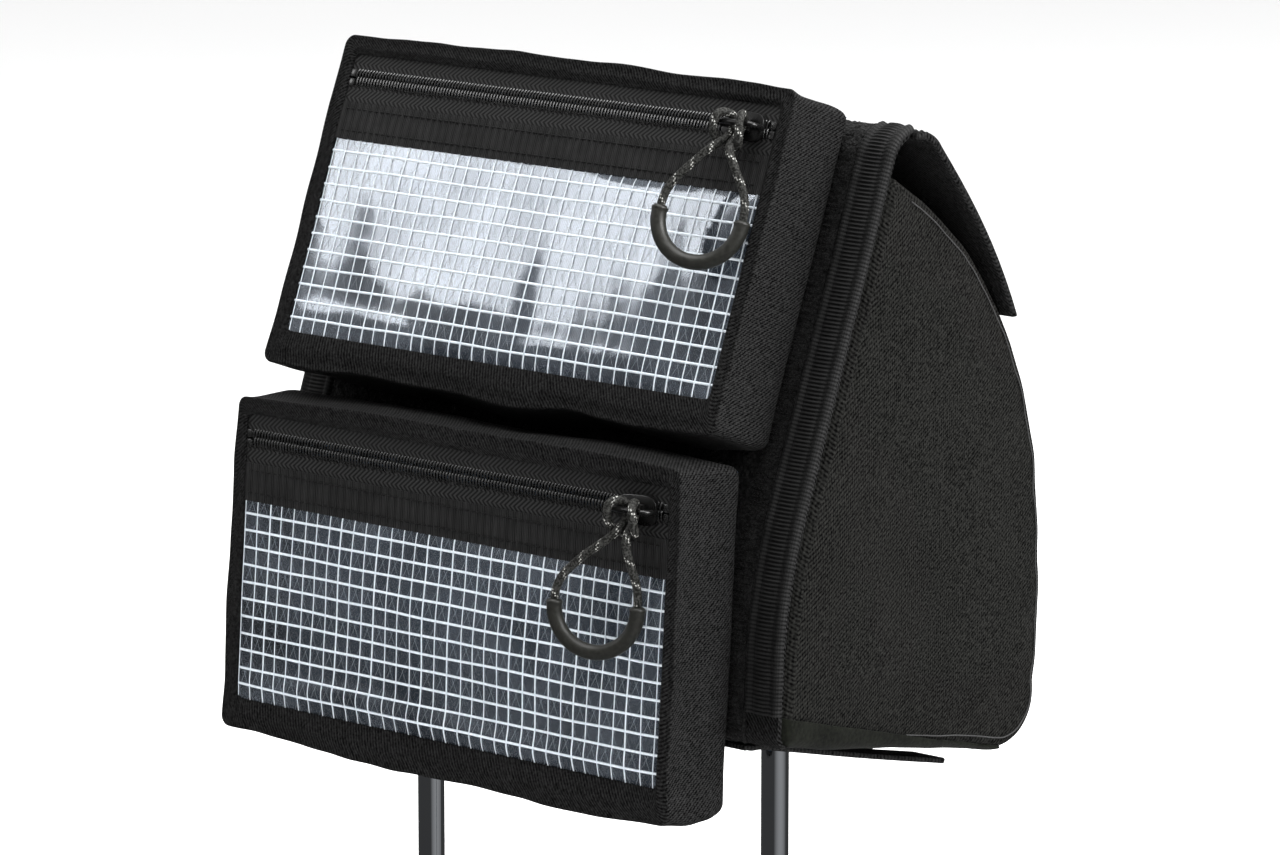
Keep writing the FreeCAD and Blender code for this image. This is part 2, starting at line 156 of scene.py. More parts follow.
def tube_parts(path, radius, ring, caps=True):
    """Vertices, faces and uv of a tube.  radius is a number or one per point or
    per point and ring step."""
    path = np.asarray(path, float)
    count = len(path)
    normal, side = frames_along(path)
    turn = np.linspace(0, 2 * math.pi, ring, endpoint=False)
    r = np.asarray(radius, float)
    r = r if r.ndim == 2 else np.broadcast_to(r.reshape(-1, 1), (count, ring))
    verts = (path[:, None] + normal[:, None] * (r * np.cos(turn))[..., None]
             + side[:, None] * (r * np.sin(turn))[..., None])
    uv = stacked(distance_along(path)[:, None], turn * np.mean(r))
    faces = grid_faces(count, ring, wrap_cols=True)
    if caps:
        faces.append(tuple(range(ring - 1, -1, -1)))
        faces.append(tuple((count - 1) * ring + j for j in range(ring)))
    return verts.reshape(-1, 3), faces, uv.reshape(-1, 2)


def joined(name, parts, sharp=None):
    """One object from several (verts, faces, uv) pieces."""
    verts, faces, uvs, start = [], [], [], 0
    for v, f, uv in parts:
        verts.append(v)
        uvs.append(uv)
        faces += [tuple(start + i for i in q) for q in f]
        start += len(v)
    return finish_mesh(name, np.concatenate(verts), faces, np.concatenate(uvs), sharp)


def resample(points, count, closed=False):
    """Points evenly spaced along a polyline."""
    points = np.asarray(points, float)
    if closed:
        points = np.concatenate([points, points[:1]])
    along = distance_along(points)
    at = np.linspace(0, along[-1], count + 1 if closed else count)
    out = points_at(at, along, points)
    return out[:-1] if closed else out


def ripple(u, v, size, seed, waves=10):
    """Soft seeded waves, about -1 to 1, of roughly the given size."""
    pick = np.random.default_rng(seed)
    total = np.zeros(np.broadcast(u, v).shape)
    weight = 0.0
    for _ in range(waves):
        angle, phase = pick.uniform(0, math.pi), pick.uniform(0, 2 * math.pi)
        wavelength = size * pick.uniform(0.6, 2.2)
        share = wavelength / size
        total += share * np.sin(2 * math.pi * (u * math.cos(angle) + v * math.sin(angle))
                                / wavelength + phase)
        weight += share * share
    return total / math.sqrt(2 * weight)


def smooth_step(t):
    t = np.clip(t, 0, 1)
    return t * t * (3 - 2 * t)


# --- reading the frame -----------------------------------------------------

def cap_outline(node):
    """Ordered (y, z) outline of a node's flat end on its +X side, in metres."""
    mesh = frame["nodes"][node].data
    co = np.array([v.co for v in mesh.vertices])
    high = co[:, 0].max() - 1e-5
    mesh.calc_loop_triangles()
    ends = {}
    for tri in mesh.loop_triangles:
        if all(co[i][0] > high for i in tri.vertices):
            keys = [tuple(np.round(co[i][1:], 6)) for i in tri.vertices]
            for k in range(3):
                a, b = keys[k], keys[(k + 1) % 3]
                if ends.get(b) and a in ends[b]:
                    ends[b].remove(a)
                else:
                    ends.setdefault(a, []).append(b)
    ends = {a: b for a, b in ends.items() if b}
    walk = [next(iter(ends))]
    while ends:
        following = ends.pop(walk[-1], None)
        if not following or following[0] == walk[0]:
            break
        walk.append(following[0])
    return np.array(walk)


def outward_2d(points, closed=True):
    """Unit normals of a (y, z) line, pointing away from the headrest's middle."""
    if closed:
        step = np.roll(points, -1, 0) - np.roll(points, 1, 0)
    else:
        step = np.gradient(points, axis=0)
    normal = unit_rows(stacked(step[:, 1], -step[:, 0]))
    if np.mean(np.sum(normal * (points - HEART), axis=1)) < 0:
        normal = -normal
    return normal


def strip_sides(node):
    """The two long sides of a strip's end outline: (outer, inner)."""
    loop = cap_outline(node)
    count = len(loop)
    ahead = np.roll(loop, -1, 0) - loop
    back = loop - np.roll(loop, 1, 0)
    ahead /= np.linalg.norm(ahead, axis=1)[:, None] + 1e-12
    back /= np.linalg.norm(back, axis=1)[:, None] + 1e-12
    corners = sorted(np.argsort(np.sum(ahead * back, axis=1))[:4])
    runs = []
    for i, a in enumerate(corners):
        b = corners[(i + 1) % 4]
        run = [loop[k % count] for k in range(a, b + 1 if b > a else b + count + 1)]
        runs.append(np.array(run))
    runs.sort(key=lambda run: -step_lengths(run).sum())
    first, second = runs[0], runs[1][::-1]
    far = [np.mean(np.linalg.norm(r - HEART, axis=1)) for r in (first, second)]
    sides = (first, second) if far[0] > far[1] else (second, first)
    if sides[0][0][1] > sides[0][-1][1] and sides[0][0][0] > sides[0][-1][0]:
        sides = tuple(s[::-1] for s in sides)
    return sides


class Pouch:
    """A pouch's own frame: x across, -y outward, z up its face, in millimetres."""

    def __init__(self, name):
        self.name = name
        axis = JOINTS[name + "_pouch_peel"]["axis"]
        lean = math.atan2(axis[2], -axis[1])
        pivot = Vector(JOINTS[name + "_pull_swing"]["pos_m"])
        self.turn = np.array([[1, 0, 0],
                              [0, math.cos(lean), math.sin(lean)],
                              [0, -math.sin(lean), math.cos(lean)]])
        bar = np.array([SLIDER_X, -POUCH_D - BAR_OUT, ZIP_Z])
        self.base = np.array(pivot) - self.turn @ bar * MM
        self.ring = RING_ACROSS[name]

    def place(self, local):
        """Shared-frame metres of local millimetres."""
        return np.asarray(local, float) @ self.turn.T * MM + self.base

    def pull(self, across, out, down):
        """A point beside the slider's bridge bar."""
        return self.place([SLIDER_X + across, -POUCH_D - BAR_OUT - out, ZIP_Z - down])

    def dress(self, thing, material, slot, *nodes, body="pouch"):
        """Dress a piece that rides on one of this pouch's bodies."""
        replaces = [f"{self.name}_{node}" for node in nodes]
        dress(thing, f"{self.name}_{body}", material, replaces)


HEART = np.array([0.030, 0.090])    # (y, z) inside the headrest

# The pouch's dimensions, millimetres
POUCH_W, POUCH_H, POUCH_D = 222.0, 121.0, 31.0
CORNER = 3.5
OPENING = (-106.0, 106.0, 10.0, 115.5)
WINDOW_HIGH = 83.5
BAND_HIGH = 97.5
ZIP_Z = 106.5
CHAIN_HALF = 3.3
SLIDER_X, BAR_OUT, BAR_R = 92.0, 7.2, 1.1
CORD_D, GRIP_R, GRIP_BEND = 3.0, 2.75, 15.5
GRIP_TWIST = math.radians(22.0)
GRIP_OUT, GRIP_DOWN, GRIP_END = 2.2, 35.5, 2.0    # GRIP_END: its straight ends
RING_ACROSS = {"lower": -10.0, "upper": -2.0}      # the grip's middle, beside the slider
BUCKLE = {"lower": 2.6, "upper": 0.6}      # how far the film rolls out along its foot
SCRIM_PITCH = 6.35


# --- materials -------------------------------------------------------------

class Shade:
    """A small wrapper that builds a node material."""

    def __init__(self, name, color, roughness, **inputs):
        self.material = bpy.data.materials.new(name)
        self.material.use_nodes = True
        self.tree = self.material.node_tree
        self.surface = self.tree.nodes["Principled BSDF"]
        self.surface.inputs["Base Color"].default_value = (*color, 1)
        self.surface.inputs["Roughness"].default_value = roughness
        for socket, value in inputs.items():
            self.surface.inputs[socket.replace("_", " ")].default_value = value

    def node(self, kind, values=None, **settings):
        made = self.tree.nodes.new("ShaderNode" + kind)
        for key, value in settings.items():
            setattr(made, key, value)
        for key, value in (values or {}).items():
            self.put(made.inputs[key], value)
        return made

    def put(self, socket, value):
        if isinstance(value, bpy.types.NodeSocket):
            self.tree.links.new(value, socket)
        else:
            socket.default_value = value

    def math(self, operation, a, b=0.0, c=0.0):
        made = self.node("Math", operation=operation)
        for socket, value in zip(made.inputs, (a, b, c)):
            self.put(socket, value)
        return made.outputs[0]

    def cloth(self):
        """The u and v sockets of the mesh's own map, in metres."""
        uv = self.node("UVMap", uv_map="cloth")
        split = self.node("SeparateXYZ", {0: uv.outputs[0]})
        return split.outputs[0], split.outputs[1]

    def wave(self, value, period):
        """0 to 1 and back once each period metres."""
        turned = self.math("MULTIPLY", value, 2 * math.pi / period)
        return self.math("MULTIPLY_ADD", self.math("SINE", turned), 0.5, 0.5)

    def noise(self, scale, detail=2.0):
        made = self.node("TexNoise", {"Scale": scale, "Detail": detail})
        self.put(made.inputs["Vector"], self.node("TexCoord").outputs["Object"])
        return made.outputs["Fac"]

    def blend(self, a, b, share):
        """That share of a, and the rest of b."""
        return self.math("MULTIPLY_ADD", a, share, self.math("MULTIPLY", b, 1 - share))

    def ramp(self, value, low, high, start=0.3, end=0.7):
        """low to high as the value goes from start to end."""
        made = self.node("MapRange", {"Value": value, "From Min": start, "From Max": end,
                                      "To Min": low, "To Max": high})
        return made.outputs[0]

    def color(self, value, dark, light):
        made = self.node("Mix", data_type="RGBA")
        self.put(made.inputs["Factor"], value)
        self.put(made.inputs[6], (*dark, 1))
        self.put(made.inputs[7], (*light, 1))
        self.put(self.surface.inputs["Base Color"], made.outputs[2])

    def bump(self, height, strength, distance):
        made = self.node("Bump", {"Strength": strength, "Distance": distance,
                                  "Height": height})
        self.put(self.surface.inputs["Normal"], made.outputs[0])

    def rough(self, value):
        self.put(self.surface.inputs["Roughness"], value)


def grey(value, blue=1.0):
    return (value, value, value * blue)


def twill(name, dark, light, period, sheen, steep=1.0, fuzz=0.35):
    """Diagonal ribs broken by the crossing threads, with soft colour variation."""
    shade = Shade(name, light, 0.8, Sheen_Weight=sheen, Sheen_Roughness=0.4,
                  Specular_IOR_Level=0.02)
    u, v = shade.cloth()
    diagonal = shade.math("MULTIPLY_ADD", v, steep, u)
    rib = shade.wave(diagonal, period)
    thread = shade.wave(u, period * 0.5)
    weave = shade.blend(thread, rib, 0.35)
    patch = shade.noise(38.0, 3.0)
    speck = shade.ramp(shade.noise(1100.0, 1.0), 0.0, 1.0)
    tone = shade.math("SUBTRACT", shade.blend(patch, weave, fuzz), 0.4)
    tone = shade.math("MULTIPLY_ADD", speck, 0.7, tone)
    shade.color(shade.math("MINIMUM", shade.math("MAXIMUM", tone, 0.0), 1.0), dark, light)
    shade.bump(weave, 0.6, 0.0003)
    shade.rough(shade.ramp(speck, 0.7, 0.95))
    return shade.material


def ribbed(name, dark, light, period):
    """Grosgrain: fine ribs across a band, with threads between."""
    shade = Shade(name, light, 0.65, Sheen_Weight=0.01, Specular_IOR_Level=0.12)
    u, v = shade.cloth()
    tone = shade.blend(shade.wave(v, period * 0.45), shade.wave(u, period), 0.25)
    tone = shade.math("MULTIPLY", tone, shade.ramp(shade.noise(160.0), 0.7, 1.2))
    shade.color(tone, dark, light)
    shade.bump(tone, 0.7, 0.0003)
    return shade.material


def pile(name, dark, light, size=0.0011):
    """Matted loops: a fuzzy, light-swallowing surface."""
    shade = Shade(name, light, 1.0, Sheen_Weight=0.03, Sheen_Roughness=0.6,
                  Specular_IOR_Level=0.05)
    loops = shade.node("TexVoronoi", {"Scale": 1 / size}, feature="F1")
    shade.put(loops.inputs["Vector"], shade.node("TexCoord").outputs["Object"])
    clump = shade.noise(240.0, 4.0)
    tone = shade.math("MULTIPLY", shade.math("SUBTRACT", 1.0, loops.outputs["Distance"]),
                      shade.ramp(clump, 0.2, 1.2, 0.35, 0.68))
    shade.color(tone, dark, light)
    shade.bump(tone, 1.0, 0.0009)
    return shade.material


def felt(name, dark, light):
    shade = Shade(name, light, 0.95, Sheen_Weight=0.03, Specular_IOR_Level=0.05)
    fibres = shade.noise(700.0, 5.0)
    tone = shade.blend(shade.noise(60.0), fibres, 0.5)
    shade.color(shade.ramp(tone, 0.0, 1.0, 0.35, 0.65), dark, light)
    shade.bump(fibres, 0.6, 0.0004)
    return shade.material


def herringbone(name, dark, light):
    """Zip tape: slanting ribs that change direction from column to column."""
    shade = Shade(name, light, 0.7, Sheen_Weight=0.02, Specular_IOR_Level=0.2)
    u, v = shade.cloth()
    zigzag = shade.math("PINGPONG", v, 0.0032)
    rib = shade.wave(shade.math("MULTIPLY_ADD", zigzag, 1.2, u), 0.0022)
    shade.color(rib, dark, light)
    shade.bump(rib, 0.6, 0.0002)
    return shade.material


def chrome(name):
    shade = Shade(name, (0.50, 0.52, 0.55), 0.06, Metallic=1.0)
    shade.rough(shade.ramp(shade.noise(90.0, 4.0), 0.03, 0.13, 0.35, 0.7))
    shade.bump(shade.noise(40.0), 0.03, 0.0004)
    return shade.material


def metal(name, color, roughness):
    shade = Shade(name, color, roughness, Metallic=1.0)
    speck = shade.noise(260.0, 3.0)
    shade.rough(shade.ramp(speck, roughness * 0.7, roughness * 1.5))
    shade.bump(speck, 0.08, 0.0002)
    return shade.material


def plastic(name, dark, light, roughness, grain=500.0, strength=0.15, coat=0.0,
            shine=0.3):
    shade = Shade(name, light, roughness, Coat_Weight=coat, Specular_IOR_Level=shine)
    speck = shade.noise(grain, 3.0)
    shade.color(shade.ramp(speck, 0.0, 1.0), dark, light)
    shade.rough(shade.ramp(speck, roughness * 0.85, roughness * 1.2))
    shade.bump(speck, strength, 0.0002)
    return shade.material


def thread(name, color):
    shade = Shade(name, color, 0.6, Specular_IOR_Level=0.1)
    u, v = shade.cloth()
    ply = shade.wave(shade.math("MULTIPLY_ADD", v, 0.8, u), 0.0006)
    shade.color(ply, tuple(c * 0.6 for c in color), color)
    shade.bump(ply, 0.5, 0.0001)
    return shade.material


def clear_film(name):
    """Thin clear sheet: mostly see-through, slightly cloudy, with glossy reflections."""
    shade = Shade(name, (0.80, 0.84, 0.90), 0.10, Specular_IOR_Level=0.8, Metallic=1.0)
    shade.bump(shade.noise(26.0, 3.0), 0.35, 0.0012)
    haze = shade.ramp(shade.noise(14.0, 4.0), 0.05, 0.12, 0.35)
    through = shade.node("BsdfTransparent", {"Color": (0.93, 0.95, 0.97, 1)})
    bend = shade.node("LayerWeight", {"Blend": 0.5}).outputs["Facing"]
    share = shade.math("MULTIPLY_ADD", shade.math("POWER", bend, 2.0), 0.45, haze)
    cloud = shade.node("BsdfDiffuse", {"Color": (0.50, 0.57, 0.68, 1)})
    veil = shade.ramp(shade.noise(30.0, 3.0), 0.02, 0.07, 0.35)
    veiled = shade.node("MixShader", {0: veil, 1: through.outputs[0], 2: cloud.outputs[0]})
    mixed = shade.node("MixShader", {0: shade.math("MINIMUM", share, 0.5),
                                     1: veiled.outputs[0], 2: shade.surface.outputs[0]})
    shade.put(shade.tree.nodes["Material Output"].inputs["Surface"], mixed.outputs[0])
    return shade.material


def braid_material(name):
    """Black braid whose tracer strands are pale."""
    shade = Shade(name, grey(0.02), 0.6, Specular_IOR_Level=0.12)
    mark = shade.node("Attribute", attribute_name="tracer").outputs["Fac"]
    speck = shade.ramp(shade.noise(1500.0, 1.0), 0.0, 0.07, 0.4, 0.65)
    shade.color(shade.math("MAXIMUM", mark, speck), grey(0.005, 0.85), grey(0.55, 0.95))
    shade.bump(shade.noise(2600.0, 1.0), 0.3, 0.0001)
    return shade.material


MATERIALS = {
    "pouch_fabric": twill("pouch_twill", grey(0.0003), grey(0.021), 0.0015, 0.005,
                          steep=0.8, fuzz=0.15),
    "cover_fabric": twill("cover_twill", grey(0.0006), grey(0.0165, 0.93), 0.0021, 0.004,
                          steep=-1.3, fuzz=0.25),
    "lining": twill("pouch_lining", (0.012, 0.016, 0.022), (0.040, 0.050, 0.066), 0.0012,
                    0.01),
    "loop_pile": pile("loop_pile", grey(0.002), grey(0.020)),
    "hook_tape": pile("hook_tape", grey(0.004), grey(0.03), 0.0008),
    "underside_felt": felt("underside_felt", (0.0015, 0.0018, 0.0012),
                           (0.0065, 0.0075, 0.0050)),
    "webbing": ribbed("webbing_grosgrain", grey(0.001), grey(0.016), 0.00142),
    "band": ribbed("window_band_grosgrain", grey(0.003), grey(0.026), 0.00085),
    "zip_tape": herringbone("zip_tape_herringbone", grey(0.0003), grey(0.024)),
    "zip_coil": plastic("zip_coil_nylon", grey(0.004), grey(0.014), 0.26, shine=0.9),
    "slider_metal": plastic("slider_black_enamel", grey(0.002), grey(0.006), 0.28, 180.0,
                            0.1, coat=0.15),
    "grip_rubber": plastic("grip_rubber", grey(0.010, 0.85), grey(0.018, 0.85), 0.40,
                           800.0, 0.25),
    "cord": braid_material("braided_cord"),
    "scrim": plastic("scrim_yarn", (0.56, 0.62, 0.68), (0.76, 0.81, 0.86), 0.5, 900.0, 0.2),
    "fine_scrim": plastic("fine_scrim_yarn", (0.14, 0.16, 0.18), (0.24, 0.27, 0.30), 0.5,
                          900.0, 0.2),
    "window_film": clear_film("window_film"),
    "stitch": thread("black_thread", grey(0.012)),
    "pale_stitch": thread("grey_thread", grey(0.045)),
    "chrome": chrome("post_chrome"),
    "steel": metal("plate_steel", (0.42, 0.43, 0.45), 0.35),
    "screw": metal("zinc_screw", (0.55, 0.56, 0.58), 0.28),
}


def dress(thing, body, material, replaces=()):
    """Material, body and the CAD nodes that the piece stands for."""
    thing.data.materials.clear()
    thing.data.materials.append(MATERIALS[material])
    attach(thing, body)
    if replaces:
        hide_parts(*replaces)


# --- camera and light ------------------------------------------------------

CAMERA = (43.45, 10.37, 2.433)      # azimuth, elevation (degrees), distance (m)
CAMERA_AIM = (0.0162, 0.0048, 0.1017)
LIGHTS_AIM = (0, 0, 0.1)
LIGHTS = {
    # azimuth, elevation (degrees), distance (m): width, height (m), power (W)
    "left_softbox": ((-52.2, 27.3, 1.5), (0.46, 0.42, 2.4)),
    "right_softbox": ((100.0, 35.0, 1.8), (1.0, 1.0, 45)),
    "top_softbox": ((20.0, 82.0, 1.9), (1.6, 1.6, 45)),
    "front_fill": ((150.0, 40.0, 2.2), (1.2, 1.2, 40)),
}


def stand(thing, aim, azimuth, elevation, distance):
    """Put a camera or light in that direction from aim, looking back at it."""
    a, e = math.radians(azimuth), math.radians(elevation)
    away = Vector((math.sin(a) * math.cos(e), -math.cos(a) * math.cos(e), math.sin(e)))
    thing.location = Vector(aim) + away * distance
    thing.rotation_mode = "QUATERNION"
    thing.rotation_quaternion = (-away).to_track_quat("-Z", "Y")


def camera():
    data = bpy.data.cameras.new("camera")
    data.sensor_width = 36.0
    data.lens = 189.6
    data.clip_end = 50.0
    thing = new_object("camera", data)
    stand(thing, CAMERA_AIM, *CAMERA)
    bpy.context.scene.camera = thing


def softbox(name, place, width, height, power):
    """A rectangular area light that looks at the headrest."""
    data = bpy.data.lights.new(name, "AREA")
    data.shape = "RECTANGLE"
    data.size, data.size_y = width, height
    data.energy = power
    thing = new_object(name, data)
    stand(thing, LIGHTS_AIM, *place)
    thing.visible_camera = False


def studio():
    world = bpy.data.worlds.new("studio")
    bpy.context.scene.world = world
    world.use_nodes = True
    tree = world.node_tree
    background = tree.nodes["Background"]
    sky = tree.nodes.new("ShaderNodeTexCoord")
    split = tree.nodes.new("ShaderNodeSeparateXYZ")
    tree.links.new(sky.outputs["Generated"], split.inputs[0])

    def spread(axis, start, end, low, high):
        made = tree.nodes.new("ShaderNodeMapRange")
        tree.links.new(split.outputs[axis], made.inputs["Value"])
        for key, value in (("From Min", start), ("From Max", end),
                           ("To Min", low), ("To Max", high)):
            made.inputs[key].default_value = value
        return made.outputs[0]

    # brighter behind the set; below the horizon, dark on the left
    level = tree.nodes.new("ShaderNodeMix")
    tree.links.new(spread(2, -0.04, 0.10, 0.0, 1.0), level.inputs[0])
    tree.links.new(spread(0, 0.55, 1.0, 0.06, 0.42), level.inputs[2])
    tree.links.new(spread(1, -0.7, 0.5, 0.2, 1.3), level.inputs[3])
    tree.links.new(level.outputs[0], background.inputs["Strength"])
    background.inputs["Color"].default_value = (1, 1, 1, 1)
    for name, (place, build) in LIGHTS.items():
        softbox(name, place, *build)
    bpy.context.scene.view_settings.view_transform = "Standard"


def floor():
    half, lines = 9.0, 9
    points = np.linspace(-half, half, lines)
    verts = stacked(points[:, None], points, cad_low.z)
    thing = finish_mesh("floor", verts, grid_faces(lines, lines, flip=True), verts[..., :2])
    shade = Shade("floor_white", grey(0.93), 0.6, Specular_IOR_Level=0.2)
    shade.rough(shade.ramp(shade.noise(3.0), 0.55, 0.7))
    thing.data.materials.append(shade.material)
    thing.visible_glossy = False


# --- pulls -----------------------------------------------------------------

def pull_route(pouch):
    """The cord's points from the grip's left mouth, round the bar, and back."""
    reach = GRIP_BEND * math.cos(GRIP_TWIST)
    lift = GRIP_BEND * math.sin(GRIP_TWIST)
    left, right = pouch.ring - reach, pouch.ring + reach
    mouth = GRIP_DOWN - GRIP_END
    return [
        (left, GRIP_OUT + lift, mouth), (left, GRIP_OUT + lift, mouth - 6),
        (0.60 * left, 5.2, 17.4), (-3.0, 3.6, 9.6), (-1.8, -2.6, 4.0),
        (-1.9, -3.2, -3.0), (-5.4, 3.0, -3.3), (-6.2, 3.4, 2.6), (-5.6, 0.9, 6.9),
        (-3.0, -2.0, 8.4), (3.0, -2.0, 8.4), (5.6, 0.9, 6.9), (6.2, 3.4, 2.6),
        (5.4, 3.0, -3.3), (1.9, -3.2, -3.0), (1.8, -2.6, 4.0), (3.0, 3.4, 9.6),
        (0.62 * right + 0.6, 0.4, 18.0),
        (right, GRIP_OUT - lift, mouth - 6), (right, GRIP_OUT - lift, mouth)]


def spline_points(name, points):
    """The centreline of a smooth curve with these control points."""
    data = bpy.data.curves.new(name, "CURVE")
    data.dimensions = "3D"
    data.resolution_u = 24
    spline = data.splines.new("NURBS")
    spline.points.add(len(points) - 1)
    for knot, p in zip(spline.points, points):
        knot.co = (*p, 1)
    spline.order_u = 3
    spline.use_endpoint_u = True
    thing = new_object(name, data)
    bpy.context.view_layer.update()
    mesh = bpy.data.meshes.new_from_object(thing)
    path = np.array([v.co for v in mesh.vertices])
    bpy.data.meshes.remove(mesh)
    bpy.data.objects.remove(thing)
    return path


def braid(name, path, diameter):
    """A tube with the over-and-under relief of a sixteen-strand braid, with a
    tracer strand, and its centreline and length."""
    ring, strands, lay, step = 40, 8, 0.0085, 0.00028
    length = step_lengths(path).sum()
    path = resample(path, int(length / step))
    along = np.linspace(0, length, len(path))[:, None] / lay
    turn = np.linspace(0, 2 * math.pi, ring, endpoint=False)[None] / (2 * math.pi)
    lead, back = (turn + along) * strands, (turn - along) * strands
    over = np.cos(math.pi * (lead + back)) * 0.5 + np.cos(math.pi * (lead - back)) * 0.5
    swell = np.maximum(np.abs(np.sin(math.pi * lead)), np.abs(np.sin(math.pi * back)))
    radius = diameter / 2 * (0.93 + 0.09 * swell)
    thing = finish_mesh(name, *tube_parts(path, radius, ring))
    tracer = ((np.floor(lead) % strands < 1) & (over > 0.35)).astype(np.float32)
    mark = thing.data.attributes.new("tracer", "FLOAT", "POINT")
    mark.data.foreach_set("value", tracer.ravel())
    return thing, path, length


def grip(pouch):
    """The moulded U of rubber that the cord's two ends go into."""
    ring, bend_steps = 28, 64
    phi = np.linspace(0, math.pi, bend_steps)
    arc = stacked(pouch.ring - GRIP_BEND * np.cos(phi) * math.cos(GRIP_TWIST),
                  GRIP_OUT + GRIP_BEND * np.cos(phi) * math.sin(GRIP_TWIST),
                  GRIP_DOWN + GRIP_BEND * np.sin(phi))
    straight = np.array([[0, 0, -above] for above in (GRIP_END, 1.6, 1.0, 0.5)])
    arc = np.concatenate([arc[0] + straight, arc, (arc[-1] + straight)[::-1]])
    path = np.array([pouch.pull(*p) for p in arc])
    s = distance_along(path) / MM
    from_end = np.minimum(s, s[-1] - s)
    # a bead just inside each mouth, and the mouth's own rounding
    bead = GRIP_R + 0.28 * np.exp(-((from_end - 1.1) / 0.7) ** 2)
    bead = bead - 0.9 * np.exp(-(from_end / 0.45) ** 2)
    verts, faces, uv = tube_parts(path, bead[:, None] * MM, ring, caps=False)
    inner, last = len(verts), (len(path) - 1) * ring
    mouths = []
    for first, centre in ((0, path[0]), (last, path[-1])):
        edge = verts[first:first + ring] - centre
        mouths.append(centre + unit_rows(edge) * CORD_D / 2 * MM * 0.97)
    verts = np.concatenate([verts] + mouths)
    uv = np.concatenate([uv, np.zeros((2 * ring, 2))])
    for j in range(ring):
        k = (j + 1) % ring
        faces.append((inner + j, inner + k, k, j))
        faces.append((last + j, last + k, inner + ring + k, inner + ring + j))
    thing = finish_mesh(pouch.name + "_pull_grip_soft", verts, faces, uv, sharp=60)
    pouch.dress(thing, "grip_rubber", "grip_rubber", "pull_grip", body="pull")
    return thing


def pull(pouch):
    held = grip(pouch)
    points = [pouch.pull(*p) for p in pull_route(pouch)]
    path = spline_points(pouch.name + "_cord_line", points)
    thing, path, length = braid(pouch.name + "_pull_cord_braid", path, CORD_D * MM)
    pouch.dress(thing, "cord", "cord", "pull_cord", body="pull")


# --- slider ----------------------------------------------------------------

def plate_parts(outline, y0, y1, bevel, pouch):
    """A plate with this (x, z) outline, its outward rim eased by bevel."""
    count = len(outline)
    away = unit_rows(outline - outline.mean(0))
    verts = []
    for y, inset in ((y0, 0.0), (y1 + bevel, 0.0), (y1 + bevel * 0.3, bevel * 0.3),
                     (y1, bevel)):
        ring = outline - away * inset
        verts.append(stacked(ring[:, 0], y, ring[:, 1]))
    rings = len(verts)
    verts = np.concatenate(verts)
    faces = grid_faces(rings, count, wrap_cols=True, flip=True)
    faces.append(tuple(range(count)))
    faces.append(tuple((rings - 1) * count + j for j in range(count))[::-1])
    return pouch.place(verts), faces, verts[:, [0, 2]] * MM


def signed_power(value, power):
    return np.sign(value) * np.abs(value) ** power


def slider_outline(half, tall):
    """A shield: wide at the divider end (+x), tapered at the other."""
    t = np.linspace(0, 2 * math.pi, 40, endpoint=False)
    x = half * signed_power(np.cos(t), 0.55)
    z = tall * signed_power(np.sin(t), 0.6) * (1.0 + 0.10 * x / half)
    return stacked(x + SLIDER_X, z + ZIP_Z)


def slider(pouch):
    """Two plates with a web between them, and a block under the bridge bar."""
    front = -POUCH_D
    plate = slider_outline(9.4, 5.2)
    web = slider_outline(2.6, 0.5) + [5.4, 0]
    block = np.array([(-4.2, -2.1), (4.2, -2.1), (4.2, 2.1), (-4.2, 2.1)])
    block = resample(block + [SLIDER_X, ZIP_Z], 32, closed=True)
    parts = [plate_parts(outline, front + y0, front + y1, bevel, pouch)
             for outline, y0, y1, bevel in ((plate, -0.7, -2.3, 0.5), (plate, 3.4, 2.2, 0.3),
                                            (web, 2.4, -0.9, 0.05), (block, -2.0, -3.3, 0.6))]
    bar_y, leg = front - BAR_OUT, 8.8
    path = [(-leg, front - 1.6), (-leg, front - 3.6), (-leg, front - 5.2),
            (-leg + 0.5, bar_y + 0.6), (-leg + 1.6, bar_y), (-4, bar_y - 0.15),
            (0, bar_y - 0.2)]
    path = path + [(-x, y) for x, y in path[-2::-1]]
    path = resample([(SLIDER_X + x, y, ZIP_Z) for x, y in path], 60)
    parts.append(tube_parts(pouch.place(path), BAR_R * MM, 16))
    thing = joined(pouch.name + "_slider_body", parts, sharp=35)
    pouch.dress(thing, "slider_metal", "slider_metal", "slider", body="zip")


# --- pouches ---------------------------------------------------------------

def round_rect(x0, x1, z0, z1, r, across=44, up=26, bend=9):
    """Points round a rectangle, from its lower left corner, anticlockwise from
    the front; the count doesn't depend on the size."""
    points = []
    corners = ((x1 - r, z0 + r, -90), (x1 - r, z1 - r, 0), (x0 + r, z1 - r, 90),
               (x0 + r, z0 + r, 180))
    before = (x0 + r, z0)
    for (cx, cz, first), steps in zip(corners, (across, up, across, up)):
        a = math.radians(first)
        start = (cx + r * math.cos(a), cz + r * math.sin(a))
        for t in np.linspace(0, 1, steps, endpoint=False):
            points.append((before[0] + (start[0] - before[0]) * t,
                           before[1] + (start[1] - before[1]) * t))
        for t in np.linspace(0, math.pi / 2, bend, endpoint=False):
            points.append((cx + r * math.cos(a + t), cz + r * math.sin(a + t)))
        a += math.pi / 2
        before = (cx + r * math.cos(a), cz + r * math.sin(a))
    return np.array(points)


